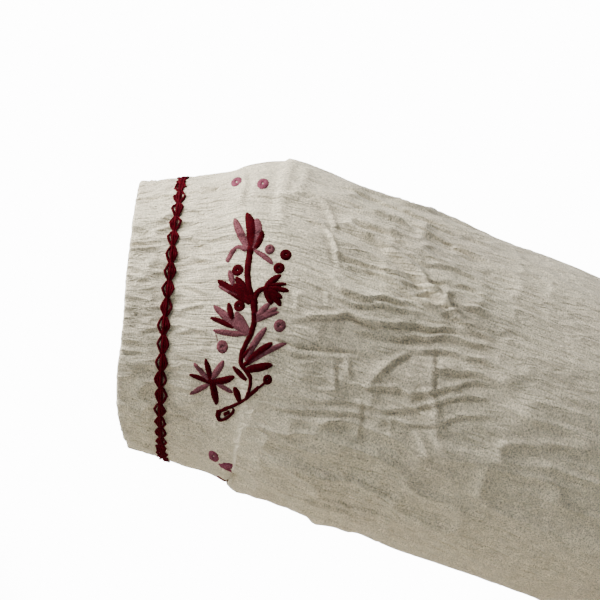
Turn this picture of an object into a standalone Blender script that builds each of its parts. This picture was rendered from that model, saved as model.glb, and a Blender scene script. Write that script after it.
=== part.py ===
"""A woven peasant top, in the hollow form that it has when worn.

Cut: a front, a back, two raglan sleeves that reach just past the elbow, a narrow neckband over the
gathered neckline, and a gathered casing at each sleeve end. Metres, +Z up. The wearer faces -Y, and
the origin is the middle of the neck opening at the height of the shoulders.
"""

import math

import bpy
import numpy as np

# Cloth: a wall has this thickness, and pieces stay this far apart at a seam.
CLOTH = 0.0015
CASING_CLOTH = 0.0028
SEAM_GAP = 0.0003

# Body: the cut is a loose tube. Each row is an ellipse whose front and back have their own depth.
TORSO_COLUMNS = ("height", "half_width", "front_depth", "back_depth")
TORSO = (
    (-0.620, 0.250, 0.166, 0.142),
    (-0.500, 0.232, 0.154, 0.129),
    (-0.390, 0.217, 0.147, 0.119),
    (-0.270, 0.209, 0.142, 0.113),
    (-0.185, 0.205, 0.132, 0.108),
    (-0.100, 0.182, 0.115, 0.097),
    (-0.040, 0.150, 0.100, 0.084),
    (0.004, 0.116, 0.086, 0.073),
)
HEM_HEIGHT = -0.620
UNDERARM_HEIGHT = -0.185
NECK_HEIGHT = 0.004
FRONT_NECK_DROP = 0.070
BACK_NECK_DROP = 0.014
RAGLAN_ANGLE = math.radians(52)  # how far round the neck each sleeve's top reaches

# Sleeve: distances run along the arm from the casing's free edge.
SLEEVE_COLUMNS = ("from_edge", "half_across", "half_depth")
SLEEVE = (
    (0.000, 0.0520, 0.0485),
    (0.017, 0.0550, 0.0502),
    (0.030, 0.0577, 0.0540),
    (0.044, 0.0625, 0.0590),
    (0.054, 0.0634, 0.0620),
    (0.072, 0.0643, 0.0640),
    (0.100, 0.0650, 0.0650),
    (0.130, 0.0650, 0.0665),
    (0.180, 0.0645, 0.0690),
    (0.232, 0.0645, 0.0700),
)
CASING_WIDTH = 0.0170
ELBOW_FROM_EDGE = 0.053
UNDERARM_FROM_EDGE = 0.232
ELBOW_BEND_LENGTH = 0.022
UPPER_ARM_ANGLE = math.radians(44)  # from straight down, outwards
FOREARM_ANGLE = math.radians(28)
ARM_FORWARD = 0.016  # how far the casing's end of the arm is in front of the underarm
ARC_OPENING = math.radians(128)  # where the sleeve's neck end is cut, from its underside
ARC_OPENING_START = 1.085  # the slope that joins the open rows to the closed ones
SHOULDER_CURVE_REACH = 0.110  # length of the handle that rounds the shoulder's top line
SHOULDER_NECK_RISE = 0.021

# Gathers: each is a ridge and a trough.
NECK_GATHER = 0.0013
NECK_GATHER_FADE = 0.090
SLEEVE_NECK_GATHERS = 14
CASING_GATHERS = 28
CASING_GATHER = 0.0008
SLEEVE_GATHER = 0.0012
SLEEVE_GATHER_FADE = 0.028
CASING_EDGE_PLACE = 0.0009  # mean place of the free edge
CASING_WAVES = ((5, 0.6, 0.0007), (2, 4.7, 0.0006), (1, 1.6, 0.0015))  # times round, start angle, size
CASING_PROUD = 0.0006
CASING_EDGE_ROUND = 0.0009
CASING_ROUND_LENGTH = 0.0020

# Neckband.
NECKBAND_HEIGHT = 0.010
NECKBAND_PROUD = 0.0006
NECKBAND_BELLY = 0.0005
NECKBAND_LEAN = math.radians(38)  # how far it leans in from upright

# Counts of points across and along each piece. Rows crowd towards the underarm and the neck.
BODY_ACROSS = 48
BODY_LOWER_ROWS = 8
BODY_ROW_CROWDING = 1.6
CAP_ROWS = 6
CAP_ROW_CROWDING = 0.8
SLEEVE_ACROSS = 2 * CASING_GATHERS
SLEEVE_ROWS = (
    CASING_WIDTH + SEAM_GAP, 0.023, 0.032, 0.042, 0.050, 0.059,
    0.071, 0.088, 0.109, 0.134, 0.162, 0.196, UNDERARM_FROM_EDGE,
)
CASING_ACROSS = 3 * CASING_GATHERS
NECKBAND_ARC = 24  # columns over each of the four pieces that the band joins

# Soft folds of the body: place is the share of the way from the left side seam to the right one.
FOLD_COLUMNS = ("place", "half_width", "depth_at_hem", "top_height", "lean")
FRONT_FOLDS = (
    (0.06, 0.030, 0.0075, -0.24, 0.00),
    (0.18, 0.036, 0.0130, -0.20, 0.01),
    (0.31, 0.030, 0.0095, -0.15, -0.01),
    (0.42, 0.028, 0.0120, -0.11, 0.01),
    (0.55, 0.034, 0.0085, -0.10, -0.02),
    (0.67, 0.030, 0.0130, -0.14, 0.01),
    (0.80, 0.036, 0.0105, -0.20, 0.00),
    (0.93, 0.030, 0.0085, -0.25, 0.00),
)
BACK_FOLDS = (
    (0.07, 0.030, 0.0085, -0.26, 0.00),
    (0.20, 0.034, 0.0110, -0.17, -0.01),
    (0.33, 0.032, 0.0125, -0.10, 0.01),
    (0.46, 0.030, 0.0090, -0.06, 0.00),
    (0.58, 0.034, 0.0130, -0.07, -0.01),
    (0.70, 0.030, 0.0100, -0.11, 0.01),
    (0.82, 0.034, 0.0110, -0.18, 0.00),
    (0.94, 0.028, 0.0070, -0.26, 0.00),
)
FOLD_RISE = 0.30  # length over which a fold grows to its full depth
FOLD_TROUGH = 0.45  # depth of the trough beside a fold, as a share of the fold's
FOLD_TROUGH_PLACE = 2.1  # how far aside that trough lies, in half widths

# Creases of a sleeve, each from one place to another. A negative depth is a trough. Angles run round
# the sleeve from its underside (0) by the front (90) and the outer side (180) to the back (270).
CREASE_COLUMNS = ("from_start", "angle_start", "from_end", "angle_end", "half_width", "depth")
CREASES = (
    (0.054, 154, 0.134, 110, 0.0085, 0.0036),
    (0.072, 106, 0.118, 116, 0.0080, 0.0030),
    (0.068, 89, 0.114, 101, 0.0075, -0.0030),
    (0.086, 76, 0.124, 87, 0.0075, -0.0032),
    (0.090, 145, 0.136, 136, 0.0085, -0.0030),
    (0.078, 60, 0.150, 70, 0.0080, 0.0030),
    (0.062, -34, 0.072, 38, 0.0080, 0.0034),
    (0.092, -40, 0.104, 30, 0.0085, 0.0030),
    (0.120, 10, 0.190, 26, 0.0100, 0.0038),
    (0.084, 206, 0.154, 262, 0.0085, 0.0036),
    (0.092, 236, 0.160, 300, 0.0085, -0.0032),
    (0.110, 312, 0.200, 330, 0.0095, 0.0038),
)
CREASE_RADIUS = 0.063
CREASE_FADE_IN = 0.25  # shares of a crease's length over which its ends fade
CREASE_FADE_OUT = 0.30
CREASE_RISE = 0.020  # length over which creases grow above the casing
ELBOW_POINT = 0.0039
ELBOW_POINT_FROM_EDGE = 0.050
ELBOW_POINT_LENGTH = 0.009
ELBOW_POINT_SPREAD = math.radians(30)
SEAM_CALM = 0.022  # folds and creases fade out this near a seam

# Places inside the cloth, from which outwards is told.
INSIDE_BODY = np.array([0.0, 0.0, -0.300])
INSIDE_CHEST = np.array([0.100, 0.0, -0.120])
INSIDE_SHOULDER = np.array([0.100, 0.0, -0.060])

MIRROR = np.array([-1.0, 1.0, 1.0])
COLOURS = {
    "gauze": (0.80, 0.77, 0.69, 1.0),
    "casing": (0.82, 0.79, 0.71, 1.0),
    "band": (0.81, 0.78, 0.70, 1.0),
}
ROUGHNESS = 0.9


def smooth_step(value):
    held = np.clip(value, 0.0, 1.0)
    return held * held * (3.0 - 2.0 * held)


def unit(vectors):
    return vectors / np.linalg.norm(vectors, axis=-1, keepdims=True)


def square_to(vectors, direction):
    """The vectors with their share along a direction taken out."""
    return unit(vectors - np.sum(vectors * direction, axis=-1, keepdims=True) * direction)


def outward(vectors, here, inside):
    """The vectors, each turned where it must be to point away from a place inside."""
    return vectors * np.sign(np.sum(vectors * (here - inside), axis=-1, keepdims=True))


def table_rows(columns, table):
    return [dict(zip(columns, row)) for row in table]


def eased(at, places, values):
    """A smooth curve through the values of a table, with no overshoot."""
    steps = np.diff(values) / np.diff(places)
    same_way = steps[:-1] * steps[1:] > 0
    mean = 2 * steps[:-1] * steps[1:] / np.where(same_way, steps[:-1] + steps[1:], 1)
    slopes = np.concatenate([steps[:1], np.where(same_way, mean, 0), steps[-1:]])
    at = np.clip(at, places[0], places[-1])
    i = np.clip(np.searchsorted(places, at) - 1, 0, len(places) - 2)
    span = places[i + 1] - places[i]
    t = (at - places[i]) / span
    start = (1 + 2 * t) * (1 - t) ** 2 * values[i] + t * (1 - t) ** 2 * span * slopes[i]
    end = t * t * (3 - 2 * t) * values[i + 1] + t * t * (t - 1) * span * slopes[i + 1]
    return start + end


def table_value(columns, table, at, name):
    """A column of a table, read smoothly at a value of its first column."""
    places = np.array([row[0] for row in table])
    values = np.array([row[columns.index(name)] for row in table])
    return eased(at, places, values)


def torso_size(height, name):
    return table_value(TORSO_COLUMNS, TORSO, height, name)


def sleeve_size(from_edge, name):
    return table_value(SLEEVE_COLUMNS, SLEEVE, from_edge, name)


def cap_rises():
    """The rows above the underarm, from 0 at the underarm to 1 at the neck."""
    return np.linspace(0.0, 1.0, CAP_ROWS + 1) ** CAP_ROW_CROWDING


def cap_height(rise):
    """Height of a row above the underarm, at the raglan seam's side."""
    return UNDERARM_HEIGHT + (NECK_HEIGHT - UNDERARM_HEIGHT) * (1 - np.cos(rise * math.pi / 2))


def raglan_angle(rise):
    return RAGLAN_ANGLE * np.sin(rise * math.pi / 2)


def torso_point(angle, height, rise, side):
    """A point of the body. angle is 0 at the left side seam, and side is -1 in front and 1 behind."""
    depth = torso_size(height, "front_depth" if side < 0 else "back_depth")
    drop = FRONT_NECK_DROP if side < 0 else BACK_NECK_DROP
    x = torso_size(height, "half_width") * np.cos(angle)
    y = side * depth * np.sin(angle)
    z = height - drop * rise**3 * np.sin(angle) ** 2
    return np.stack(np.broadcast_arrays(x, y, z), axis=-1)


def raglan_seam(rise, side):
    """The seam between body and left sleeve, in front (-1) or behind (1)."""
    return torso_point(raglan_angle(rise), cap_height(rise), rise, side)


def arm_angle(from_edge):
    bend = (from_edge - ELBOW_FROM_EDGE) / ELBOW_BEND_LENGTH + 0.5
    return FOREARM_ANGLE + (UPPER_ARM_ANGLE - FOREARM_ANGLE) * smooth_step(bend)


def arm_direction(from_edge):
    """The way up the arm, towards the shoulder."""
    tilt = arm_angle(from_edge)
    return np.stack(np.broadcast_arrays(-np.sin(tilt), 0.0, np.cos(tilt)), axis=-1)


def arm_outward(from_edge):
    """The way from the arm's middle to its outer side."""
    tilt = arm_angle(from_edge)
    return np.stack(np.broadcast_arrays(np.cos(tilt), 0.0, np.sin(tilt)), axis=-1)


def underarm_centre():
    side_seam = np.array([torso_size(UNDERARM_HEIGHT, "half_width"), 0.0, UNDERARM_HEIGHT])
    half = sleeve_size(UNDERARM_FROM_EDGE, "half_across")
    return side_seam + half * arm_outward(UNDERARM_FROM_EDGE)


def arm_centre(from_edge):
    """The middle of the left sleeve, summed along the arm from the underarm to the casing."""
    places = np.linspace(0.0, UNDERARM_FROM_EDGE, 400)
    steps = arm_direction((places[1:] + places[:-1]) / 2) * np.diff(places)[:, None]
    summed = np.concatenate([np.zeros((1, 3)), np.cumsum(steps, axis=0)])
    centre = underarm_centre() - summed[-1]
    x, z = (centre[i] + np.interp(from_edge, places, summed[:, i]) for i in (0, 2))
    forward = ARM_FORWARD * smooth_step(1 - from_edge / UNDERARM_FROM_EDGE)
    return np.stack(np.broadcast_arrays(x, -forward, z), axis=-1)


def arm_ring(from_edge, angle):
    """A point of a closed sleeve row. angle is 0 on the underside and 90 degrees in front."""
    across = sleeve_size(from_edge, "half_across") * np.cos(angle)
    depth = sleeve_size(from_edge, "half_depth") * np.sin(angle)
    back = np.array([0.0, 1.0, 0.0])
    return arm_centre(from_edge) - arm_outward(from_edge) * across[..., None] - back * depth[..., None]


def shoulder_top(rise):
    """The sleeve's top line, from above the underarm over the shoulder to the neck."""
    half = sleeve_size(UNDERARM_FROM_EDGE, "half_across")
    start = underarm_centre() + half * arm_outward(UNDERARM_FROM_EDGE)
    end = np.array([torso_size(NECK_HEIGHT, "half_width"), 0, NECK_HEIGHT])
    handle = start + SHOULDER_CURVE_REACH * arm_direction(UNDERARM_FROM_EDGE)
    handle[2] = min(handle[2], end[2] - SHOULDER_NECK_RISE)
    t = np.asarray(rise)[..., None]
    return (1 - t) ** 2 * start + 2 * t * (1 - t) * handle + t * t * end


def cap_opening(rise):
    return ARC_OPENING * (ARC_OPENING_START * rise - (ARC_OPENING_START - 1) * rise**2)


def cap_point(rise, share):
    """A point of an open sleeve row. share runs from 0 at the front seam to 1 at the back seam."""
    rise = np.maximum(rise, 1e-4)
    opening = cap_opening(rise)
    angle = opening + share * 2 * (math.pi - opening)
    front, back, top = raglan_seam(rise, -1), raglan_seam(rise, 1), shoulder_top(rise)
    middle = (front + back) / 2
    up = (top - middle) / (1 + np.cos(opening))[..., None]
    forward = (front - back) / (2 * np.sin(opening))[..., None]
    return top - up * (1 + np.cos(angle))[..., None] + forward * np.sin(angle)[..., None]


def surface_normal(point, first, second, step=1e-3):
    """The normal of a surface given as a function of two values."""
    along = point(first + step, second) - point(first - step, second)
    across = point(first, second + step) - point(first, second - step)
    return unit(np.cross(along, across))


def neck_frame(here):
    """The way that the neckband stands up, and the way out of it, at places round the neckline."""
    away = unit(here * np.array([1.0, 1.0, 0.0]))
    rise = np.array([0.0, 0.0, 1.0])
    up = rise * math.cos(NECKBAND_LEAN) - away * math.sin(NECKBAND_LEAN)
    out = rise * math.sin(NECKBAND_LEAN) + away * math.cos(NECKBAND_LEAN)
    return up, out


def seam_run(rise, side):
    """The way along the raglan seam. At the underarm it crosses from front to back."""
    step = 0.01
    ahead = raglan_seam(np.minimum(rise + step, 1.0), side)
    behind = raglan_seam(np.maximum(rise - step, 0.0), side)
    run = unit(ahead - behind)
    run[rise < step / 2] = np.array([0.0, side, 0.0])
    return run


def seam_frame(rise, side):
    """Place, outward direction and direction from body to sleeve, at points of the raglan seam."""
    here = raglan_seam(rise, side)
    near = np.clip(rise, 0.04, 0.996)
    edge = np.full_like(near, 0.004 if side < 0 else 0.996)
    body = surface_normal(lambda r, a: torso_point(a, cap_height(r), r, side), near, raglan_angle(near))
    sleeve = surface_normal(cap_point, near, edge)
    arm_inside = underarm_centre() * (1 - rise[..., None]) + INSIDE_SHOULDER * rise[..., None]
    run = seam_run(rise, side)
    both = outward(body, here, INSIDE_CHEST) + outward(sleeve, here, arm_inside)
    out = square_to(both, run)
    across = np.cross(run, out)
    across *= np.sign(across[..., :1])
    near_neck = smooth_step((rise - 0.4) / 0.6)[..., None]
    out = unit(out * (1 - near_neck) + neck_frame(here)[1] * near_neck)
    return here, out, across


def quads(index):
    """The faces between the rows of a table of point numbers."""
    return [
        (int(row[j]), int(row[j + 1]), int(above[j + 1]), int(above[j]))
        for row, above in zip(index[:-1], index[1:])
        for j in range(len(row) - 1)
    ]


def point_normals(points, faces):
    numbers = np.array(faces)
    corners = points[numbers]
    face_normals = np.cross(corners[:, 2] - corners[:, 0], corners[:, 3] - corners[:, 1])
    normals = np.zeros_like(points)
    for k in range(4):
        np.add.at(normals, numbers[:, k], face_normals)
    return unit(normals)


def facing_out(faces, points, inside):
    """The faces turned, all together, so that they face away from a place inside."""
    if np.sum(point_normals(points, faces) * (points - inside)) < 0:
        return [tuple(reversed(face)) for face in faces]
    return faces


def rim(outer, faces):
    """The faces that close a wall along its open edges, split the same way on both sides of a seam."""
    count = len(outer)
    used = {(a, b) for face in faces for a, b in zip(face, face[1:] + face[:1])}
    closing = []
    for a, b in sorted(used):
        if (b, a) in used:
            continue
        if outer[a][2] > outer[b][2]:
            closing += [(b, a, b + count), (a, a + count, b + count)]
        else:
            closing += [(b, a, a + count), (b, a + count, b + count)]
    return closing


def wall(name, outer, inner, faces, colour, mirrored=False):
    """A closed cloth wall, from its outer points, its inner points and its outer faces."""
    count = len(outer)
    inner_faces = [tuple(i + count for i in reversed(face)) for face in faces]
    points = np.concatenate([outer, inner])
    everything = list(faces) + inner_faces + rim(outer, faces)
    if mirrored:
        points = points * MIRROR
        everything = [tuple(reversed(face)) for face in everything]
    mesh = bpy.data.meshes.new(name)
    mesh.from_pydata([tuple(p) for p in points], [], everything)
    mesh.shade_smooth()
    mesh.materials.append(cloth_material(colour))
    piece = bpy.data.objects.new(name, mesh)
    bpy.context.scene.collection.objects.link(piece)
    return piece


def cloth_material(colour):
    made = bpy.data.materials.new(colour)
    made.use_nodes = True
    shader = made.node_tree.nodes["Principled BSDF"]
    shader.inputs["Base Color"].default_value = COLOURS[colour]
    shader.inputs["Roughness"].default_value = ROUGHNESS
    shader.inputs["Metallic"].default_value = 0.0
    return made


def body_grid(side):
    """The plain form of the front (-1) or the back (1), as rows of points from the hem to the neck."""
    share = np.linspace(0.0, 1.0, BODY_ACROSS + 1)
    low = 1 - (1 - np.linspace(0.0, 1.0, BODY_LOWER_ROWS + 1)) ** BODY_ROW_CROWDING
    heights = HEM_HEIGHT + (UNDERARM_HEIGHT - HEM_HEIGHT) * low
    rows = [torso_point(share * math.pi, np.full_like(share, h), 0.0, side) for h in heights]
    for rise in cap_rises()[1:]:
        start = raglan_angle(rise)
        angle = start + share * (math.pi - 2 * start)
        rows.append(torso_point(angle, np.full_like(share, cap_height(rise)), rise, side))
    return np.array(rows)


def fold_push(share, height, folds):
    """How far the body's folds stand out, at a share of the way across and a height."""
    push = np.zeros(np.broadcast(share, height).shape)
    for fold in table_rows(FOLD_COLUMNS, folds):
        width = fold["half_width"]
        depth = fold["depth_at_hem"] * smooth_step((fold["top_height"] - height) / FOLD_RISE)
        ridge = fold["place"] + fold["lean"] * (height - HEM_HEIGHT) / (NECK_HEIGHT - HEM_HEIGHT)
        trough = ridge + FOLD_TROUGH_PLACE * width
        push += depth * np.exp(-(((share - ridge) / width) ** 2))
        push -= depth * FOLD_TROUGH * np.exp(-(((share - trough) / width) ** 2))
    return push


def neck_gather_push(share, side_height):
    """The neckline's gathers, which fade towards the seams and down the chest."""
    below = (NECK_HEIGHT - side_height) / NECK_GATHER_FADE
    zigzag = np.where(np.arange(BODY_ACROSS + 1) % 2 == 0, -1.0, 1.0) * NECK_GATHER
    fewest = BODY_ACROSS / 4
    ends = smooth_step(share * fewest) * smooth_step((1 - share) * fewest)
    return smooth_step(1 - below)[:, None] * (zigzag * ends)[None, :]


def body_panel(name, side, folds):
    """The front (-1) or the back (1), with its neckline gathers and its folds down to the hem."""
    base = body_grid(side)
    share = np.linspace(0.0, 1.0, BODY_ACROSS + 1)
    index = np.arange(base.shape[0] * base.shape[1]).reshape(base.shape[:2])
    flat = base.reshape(-1, 3)
    faces = facing_out(quads(index), flat, INSIDE_BODY)
    top = index[-1]
    top_out = neck_frame(flat[top])[1]
    normals = point_normals(flat, faces)
    normals[top] = top_out
    from_seam = np.minimum(share, 1 - share) * math.pi * torso_size(UNDERARM_HEIGHT, "half_width")
    push = fold_push(share[None, :], base[..., 2], folds) * smooth_step(from_seam / SEAM_CALM)
    push += neck_gather_push(share, base[:, 0, 2])
    outer = flat + normals * push.reshape(-1, 1)

    out = point_normals(outer, faces)
    out[top] = top_out
    lift = np.zeros_like(outer)
    for end, flip in ((0, np.ones(3)), (-1, MIRROR)):
        side_seam = index[:BODY_LOWER_ROWS, end]
        out[side_seam] = flip * np.array([1.0, 0.0, 0.0])
        lift[side_seam] = np.array([0.0, side * SEAM_GAP / 2, 0.0])
        here, seam_out, across = seam_frame(cap_rises(), side)
        seam = index[BODY_LOWER_ROWS:, end]
        outer[seam] = here * flip
        out[seam] = seam_out * flip
        lift[seam] = -across * flip * SEAM_GAP / 2
        lift[seam[0], 1] += side * SEAM_GAP / 2
    outer = outer + lift
    return wall(name, outer, outer - out * CLOTH, faces, "gauze")


def crease_push(from_edge, angle):
    """How far creases stand out, at a distance from the casing's edge and an angle round the arm."""
    radius = sleeve_size(from_edge, "half_across")
    push = np.zeros(np.broadcast(from_edge, angle).shape)
    for crease in table_rows(CREASE_COLUMNS, CREASES):
        run = crease["from_end"] - crease["from_start"]
        turn = math.radians(crease["angle_end"] - crease["angle_start"])
        middle = math.radians(crease["angle_start"] + crease["angle_end"]) / 2
        wrapped = np.mod(angle - middle + math.pi, 2 * math.pi) - math.pi
        along = from_edge - crease["from_start"]
        around = (wrapped + turn / 2) * radius
        sweep = turn * CREASE_RADIUS
        length = math.hypot(run, sweep)
        ahead = (along * run + around * sweep) / length**2
        aside = (along * sweep - around * run) / length
        starts = smooth_step(ahead / CREASE_FADE_IN + 0.3)
        ends = smooth_step((1 - ahead) / CREASE_FADE_OUT + 0.3)
        push += crease["depth"] * starts * ends * np.exp(-((aside / crease["half_width"]) ** 2))
    return push * smooth_step((from_edge - CASING_WIDTH) / CREASE_RISE)


def elbow_push(from_edge, angle):
    """The point that the bent elbow makes on the outer side."""
    along = np.exp(-(np.abs(from_edge - ELBOW_POINT_FROM_EDGE) / ELBOW_POINT_LENGTH) ** 1.3)
    around = np.exp(-(((angle - math.pi) / ELBOW_POINT_SPREAD) ** 2))
    return ELBOW_POINT * along * around


def sleeve_push(from_edge, angle):
    """Everything that stands out on a closed sleeve row."""
    zigzag = np.where(np.arange(SLEEVE_ACROSS) % 2 == 0, 1.0, -1.0) * SLEEVE_GATHER
    faded = smooth_step(1 - (from_edge - CASING_WIDTH) / SLEEVE_GATHER_FADE)
    calm = smooth_step((UNDERARM_FROM_EDGE - from_edge) / SEAM_CALM)
    creases = crease_push(np.full_like(angle, from_edge), angle)
    return creases * calm + elbow_push(from_edge, angle) + zigzag * faded


def cap_push(rise, share):
    """The gathers of a sleeve's neck end, on an open row."""
    wave = np.cos(2 * math.pi * SLEEVE_NECK_GATHERS * share) * NECK_GATHER
    return wave * np.sqrt(np.sin(math.pi * share)) * smooth_step((rise - 0.55) / 0.4)


def sleeve(name, mirrored):
    """A raglan sleeve: closed rows from the casing to the underarm, then open rows to the neck."""
    share = np.linspace(0.0, 1.0, SLEEVE_ACROSS + 1)
    turn = share[:-1] * 2 * math.pi
    rises = cap_rises()
    rows = [arm_ring(np.full_like(turn, distance), turn) for distance in SLEEVE_ROWS]
    rows += [cap_point(np.full_like(share, rise), share) for rise in rises[1:]]
    starts = np.cumsum([0] + [len(row) for row in rows])
    ring = np.append(np.arange(SLEEVE_ACROSS), 0)
    closed = len(SLEEVE_ROWS)
    index = [starts[i] + ring for i in range(closed)]
    index += [starts[i] + np.arange(SLEEVE_ACROSS + 1) for i in range(closed, len(rows))]
    flat = np.concatenate(rows)
    faces = facing_out(quads(index), flat, underarm_centre())

    first, top = index[0][:-1], index[-1]
    up_arm = arm_direction(SLEEVE_ROWS[0])
    top_out = neck_frame(flat[top])[1]
    normals = point_normals(flat, faces)
    normals[first] = square_to(normals[first], up_arm)
    normals[top] = top_out
    push = [sleeve_push(distance, turn) for distance in SLEEVE_ROWS]
    push += [cap_push(rise, share) for rise in rises[1:]]
    outer = flat + normals * np.concatenate(push)[:, None]

    out = point_normals(outer, faces)
    out[first] = square_to(out[first], up_arm)
    out[top] = top_out
    lift = np.zeros_like(outer)
    for side, end in ((-1, 0), (1, -1)):
        here, seam_out, across = seam_frame(rises, side)
        seam = np.array([row[end] for row in index[closed - 1 :]])
        outer[seam] = here
        out[seam] = seam_out
        lift[seam] = across * SEAM_GAP / 2
    outer = outer + lift
    return wall(name, outer, outer - out * CLOTH, faces, "gauze", mirrored)


def casing_wave(angle):
    """How far the casing's free edge waves along the arm, at an angle round it."""
    waves = sum(size * np.sin(times * angle + start) for times, start, size in CASING_WAVES)
    return CASING_EDGE_PLACE + waves


def casing(name, mirrored):
    """The double band at a sleeve's end, gathered outside over a plain inside."""
    turn = np.linspace(0.0, 2 * math.pi, CASING_ACROSS + 1)[:-1]
    gathers = np.cos(CASING_GATHERS * turn) * CASING_GATHER
    along = arm_direction(0.0)
    outer, inner = [], []
    for place in (0.0, CASING_ROUND_LENGTH, CASING_WIDTH):
        at_edge = place == 0.0
        distance = place + casing_wave(turn) * (1 - place / CASING_WIDTH)
        past_edge = along * np.minimum(distance, 0.0)[:, None]
        middle = arm_ring(np.maximum(distance, 0.0), turn) + past_edge
        away = square_to(middle - arm_centre(0.0), along)
        rounding = CASING_EDGE_ROUND if at_edge else 0.0
        swell = gathers * (0.4 if at_edge else 1.0) + CASING_PROUD - rounding
        outer.append(middle + away * swell[:, None])
        inner.append(middle - away * (CASING_CLOTH - CASING_PROUD - rounding))
    ring = np.append(np.arange(CASING_ACROSS), 0)
    index = [i * CASING_ACROSS + ring for i in range(len(outer))]
    points = np.concatenate(outer)
    faces = facing_out(quads(index), points, arm_centre(CASING_WIDTH / 2))
    return wall(name, points, np.concatenate(inner), faces, "casing", mirrored)


def body_neck_edge(share, side):
    angle = RAGLAN_ANGLE + share * (math.pi - 2 * RAGLAN_ANGLE)
    return torso_point(angle, np.full_like(share, NECK_HEIGHT), 1.0, side)


def neckline():
    """The ring that the neckband follows: the tops of front, left sleeve, back and right sleeve."""
    share = np.arange(NECKBAND_ARC) / NECKBAND_ARC
    front = body_neck_edge(1 - share, -1)
    left = cap_point(np.ones_like(share), share)
    back = body_neck_edge(share, 1)
    right = cap_point(np.ones_like(share), 1 - share) * MIRROR
    return np.concatenate([front, left, back, right])


def neckband(name):
    """A narrow band that stands on the gathered neckline."""
    places = neckline()
    up, out = neck_frame(places)
    profile = ((SEAM_GAP, 0.0), (NECKBAND_HEIGHT / 2, NECKBAND_BELLY), (NECKBAND_HEIGHT, 0.0))
    outer = [places + up * height + out * (NECKBAND_PROUD + belly) for height, belly in profile]
    inner = [places + up * height - out * (CLOTH + NECKBAND_PROUD) for height, _ in profile]
    ring = np.append(np.arange(len(places)), 0)
    index = [i * len(places) + ring for i in range(len(profile))]
    points = np.concatenate(outer)
    faces = facing_out(quads(index), points, np.zeros(3))
    return wall(name, points, np.concatenate(inner), faces, "band")


def build():
    for old in list(bpy.data.objects):
        bpy.data.objects.remove(old)
    body_panel("front", -1, FRONT_FOLDS)
    body_panel("back", 1, BACK_FOLDS)
    for word, mirrored in (("left", False), ("right", True)):
        sleeve(f"sleeve_{word}", mirrored)
        casing(f"cuff_casing_{word}", mirrored)
    neckband("neckband")


build()
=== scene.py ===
import math

import bpy
import numpy as np
from mathutils import Matrix, Vector


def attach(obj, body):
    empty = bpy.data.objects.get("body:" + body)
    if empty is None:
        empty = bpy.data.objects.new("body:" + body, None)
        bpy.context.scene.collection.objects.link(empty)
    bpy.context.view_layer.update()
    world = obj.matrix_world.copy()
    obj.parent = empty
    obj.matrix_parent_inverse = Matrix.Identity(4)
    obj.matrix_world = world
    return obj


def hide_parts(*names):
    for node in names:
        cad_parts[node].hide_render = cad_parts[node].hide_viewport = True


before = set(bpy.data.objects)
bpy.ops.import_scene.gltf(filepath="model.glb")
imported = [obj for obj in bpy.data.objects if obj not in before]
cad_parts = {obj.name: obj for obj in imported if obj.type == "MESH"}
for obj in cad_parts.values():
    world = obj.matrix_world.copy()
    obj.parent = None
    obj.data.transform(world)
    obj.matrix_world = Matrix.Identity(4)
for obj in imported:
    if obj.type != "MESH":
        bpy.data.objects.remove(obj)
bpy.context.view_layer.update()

mirror = np.array([-1.0, 1.0, 1.0])  # turns the left sleeve into the right one
mm = 0.001


# Shape of the top: the same sizes as the solids, in metres
torsoColumns = ("height", "halfWidth", "frontDepth", "backDepth")
torso = np.array([
    (-0.620, 0.250, 0.166, 0.142),
    (-0.500, 0.232, 0.154, 0.129),
    (-0.390, 0.217, 0.147, 0.119),
    (-0.270, 0.209, 0.142, 0.113),
    (-0.185, 0.205, 0.132, 0.108),
    (-0.100, 0.182, 0.115, 0.097),
    (-0.040, 0.150, 0.100, 0.084),
    (0.004, 0.116, 0.086, 0.073),
])
sleeveColumns = ("fromEdge", "halfAcross", "halfDepth")
sleeve = np.array([
    (0.000, 0.0520, 0.0485),
    (0.017, 0.0550, 0.0502),
    (0.030, 0.0577, 0.0540),
    (0.044, 0.0625, 0.0590),
    (0.054, 0.0634, 0.0620),
    (0.072, 0.0643, 0.0640),
    (0.100, 0.0650, 0.0650),
    (0.130, 0.0650, 0.0665),
    (0.180, 0.0645, 0.0690),
    (0.232, 0.0645, 0.0700),
])
form = {  # metres
    "hemHeight": -0.620,
    "underarmHeight": -0.185,
    "neckHeight": 0.004,
    "frontNeckDrop": 0.070,
    "backNeckDrop": 0.014,
    "raglanAngle": math.radians(52),
    "casingWidth": 0.0170,
    "elbowFromEdge": 0.053,
    "elbowBendLength": 0.022,
    "underarmFromEdge": 0.232,
    "upperArmAngle": math.radians(44),
    "forearmAngle": math.radians(28),
    "armForward": 0.016,
    "arcOpening": math.radians(128),
    "arcOpeningStart": 1.085,
    "shoulderReach": 0.110,
    "shoulderNeckRise": 0.021,
    "neckbandHeight": 0.010,
    "neckbandLean": math.radians(38),
}


def smoothStep(value):
    held = np.clip(value, 0.0, 1.0)
    return held * held * (3.0 - 2.0 * held)


def unit(vectors):
    return vectors / np.linalg.norm(vectors, axis=-1, keepdims=True)


# The part of each vector that is square to a direction, 1 long
def squareTo(vectors, direction):
    return unit(vectors - (vectors @ direction)[:, None] * direction)


def joined(*parts):
    return np.stack(np.broadcast_arrays(*parts), axis=-1)


# Distance from the start, along a line of points or on average up a grid of them
def runAlong(points):
    steps = np.linalg.norm(np.diff(points, axis=0), axis=-1)
    return np.concatenate([[0], np.cumsum(steps if steps.ndim == 1 else steps.mean(axis=1))])


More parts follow.
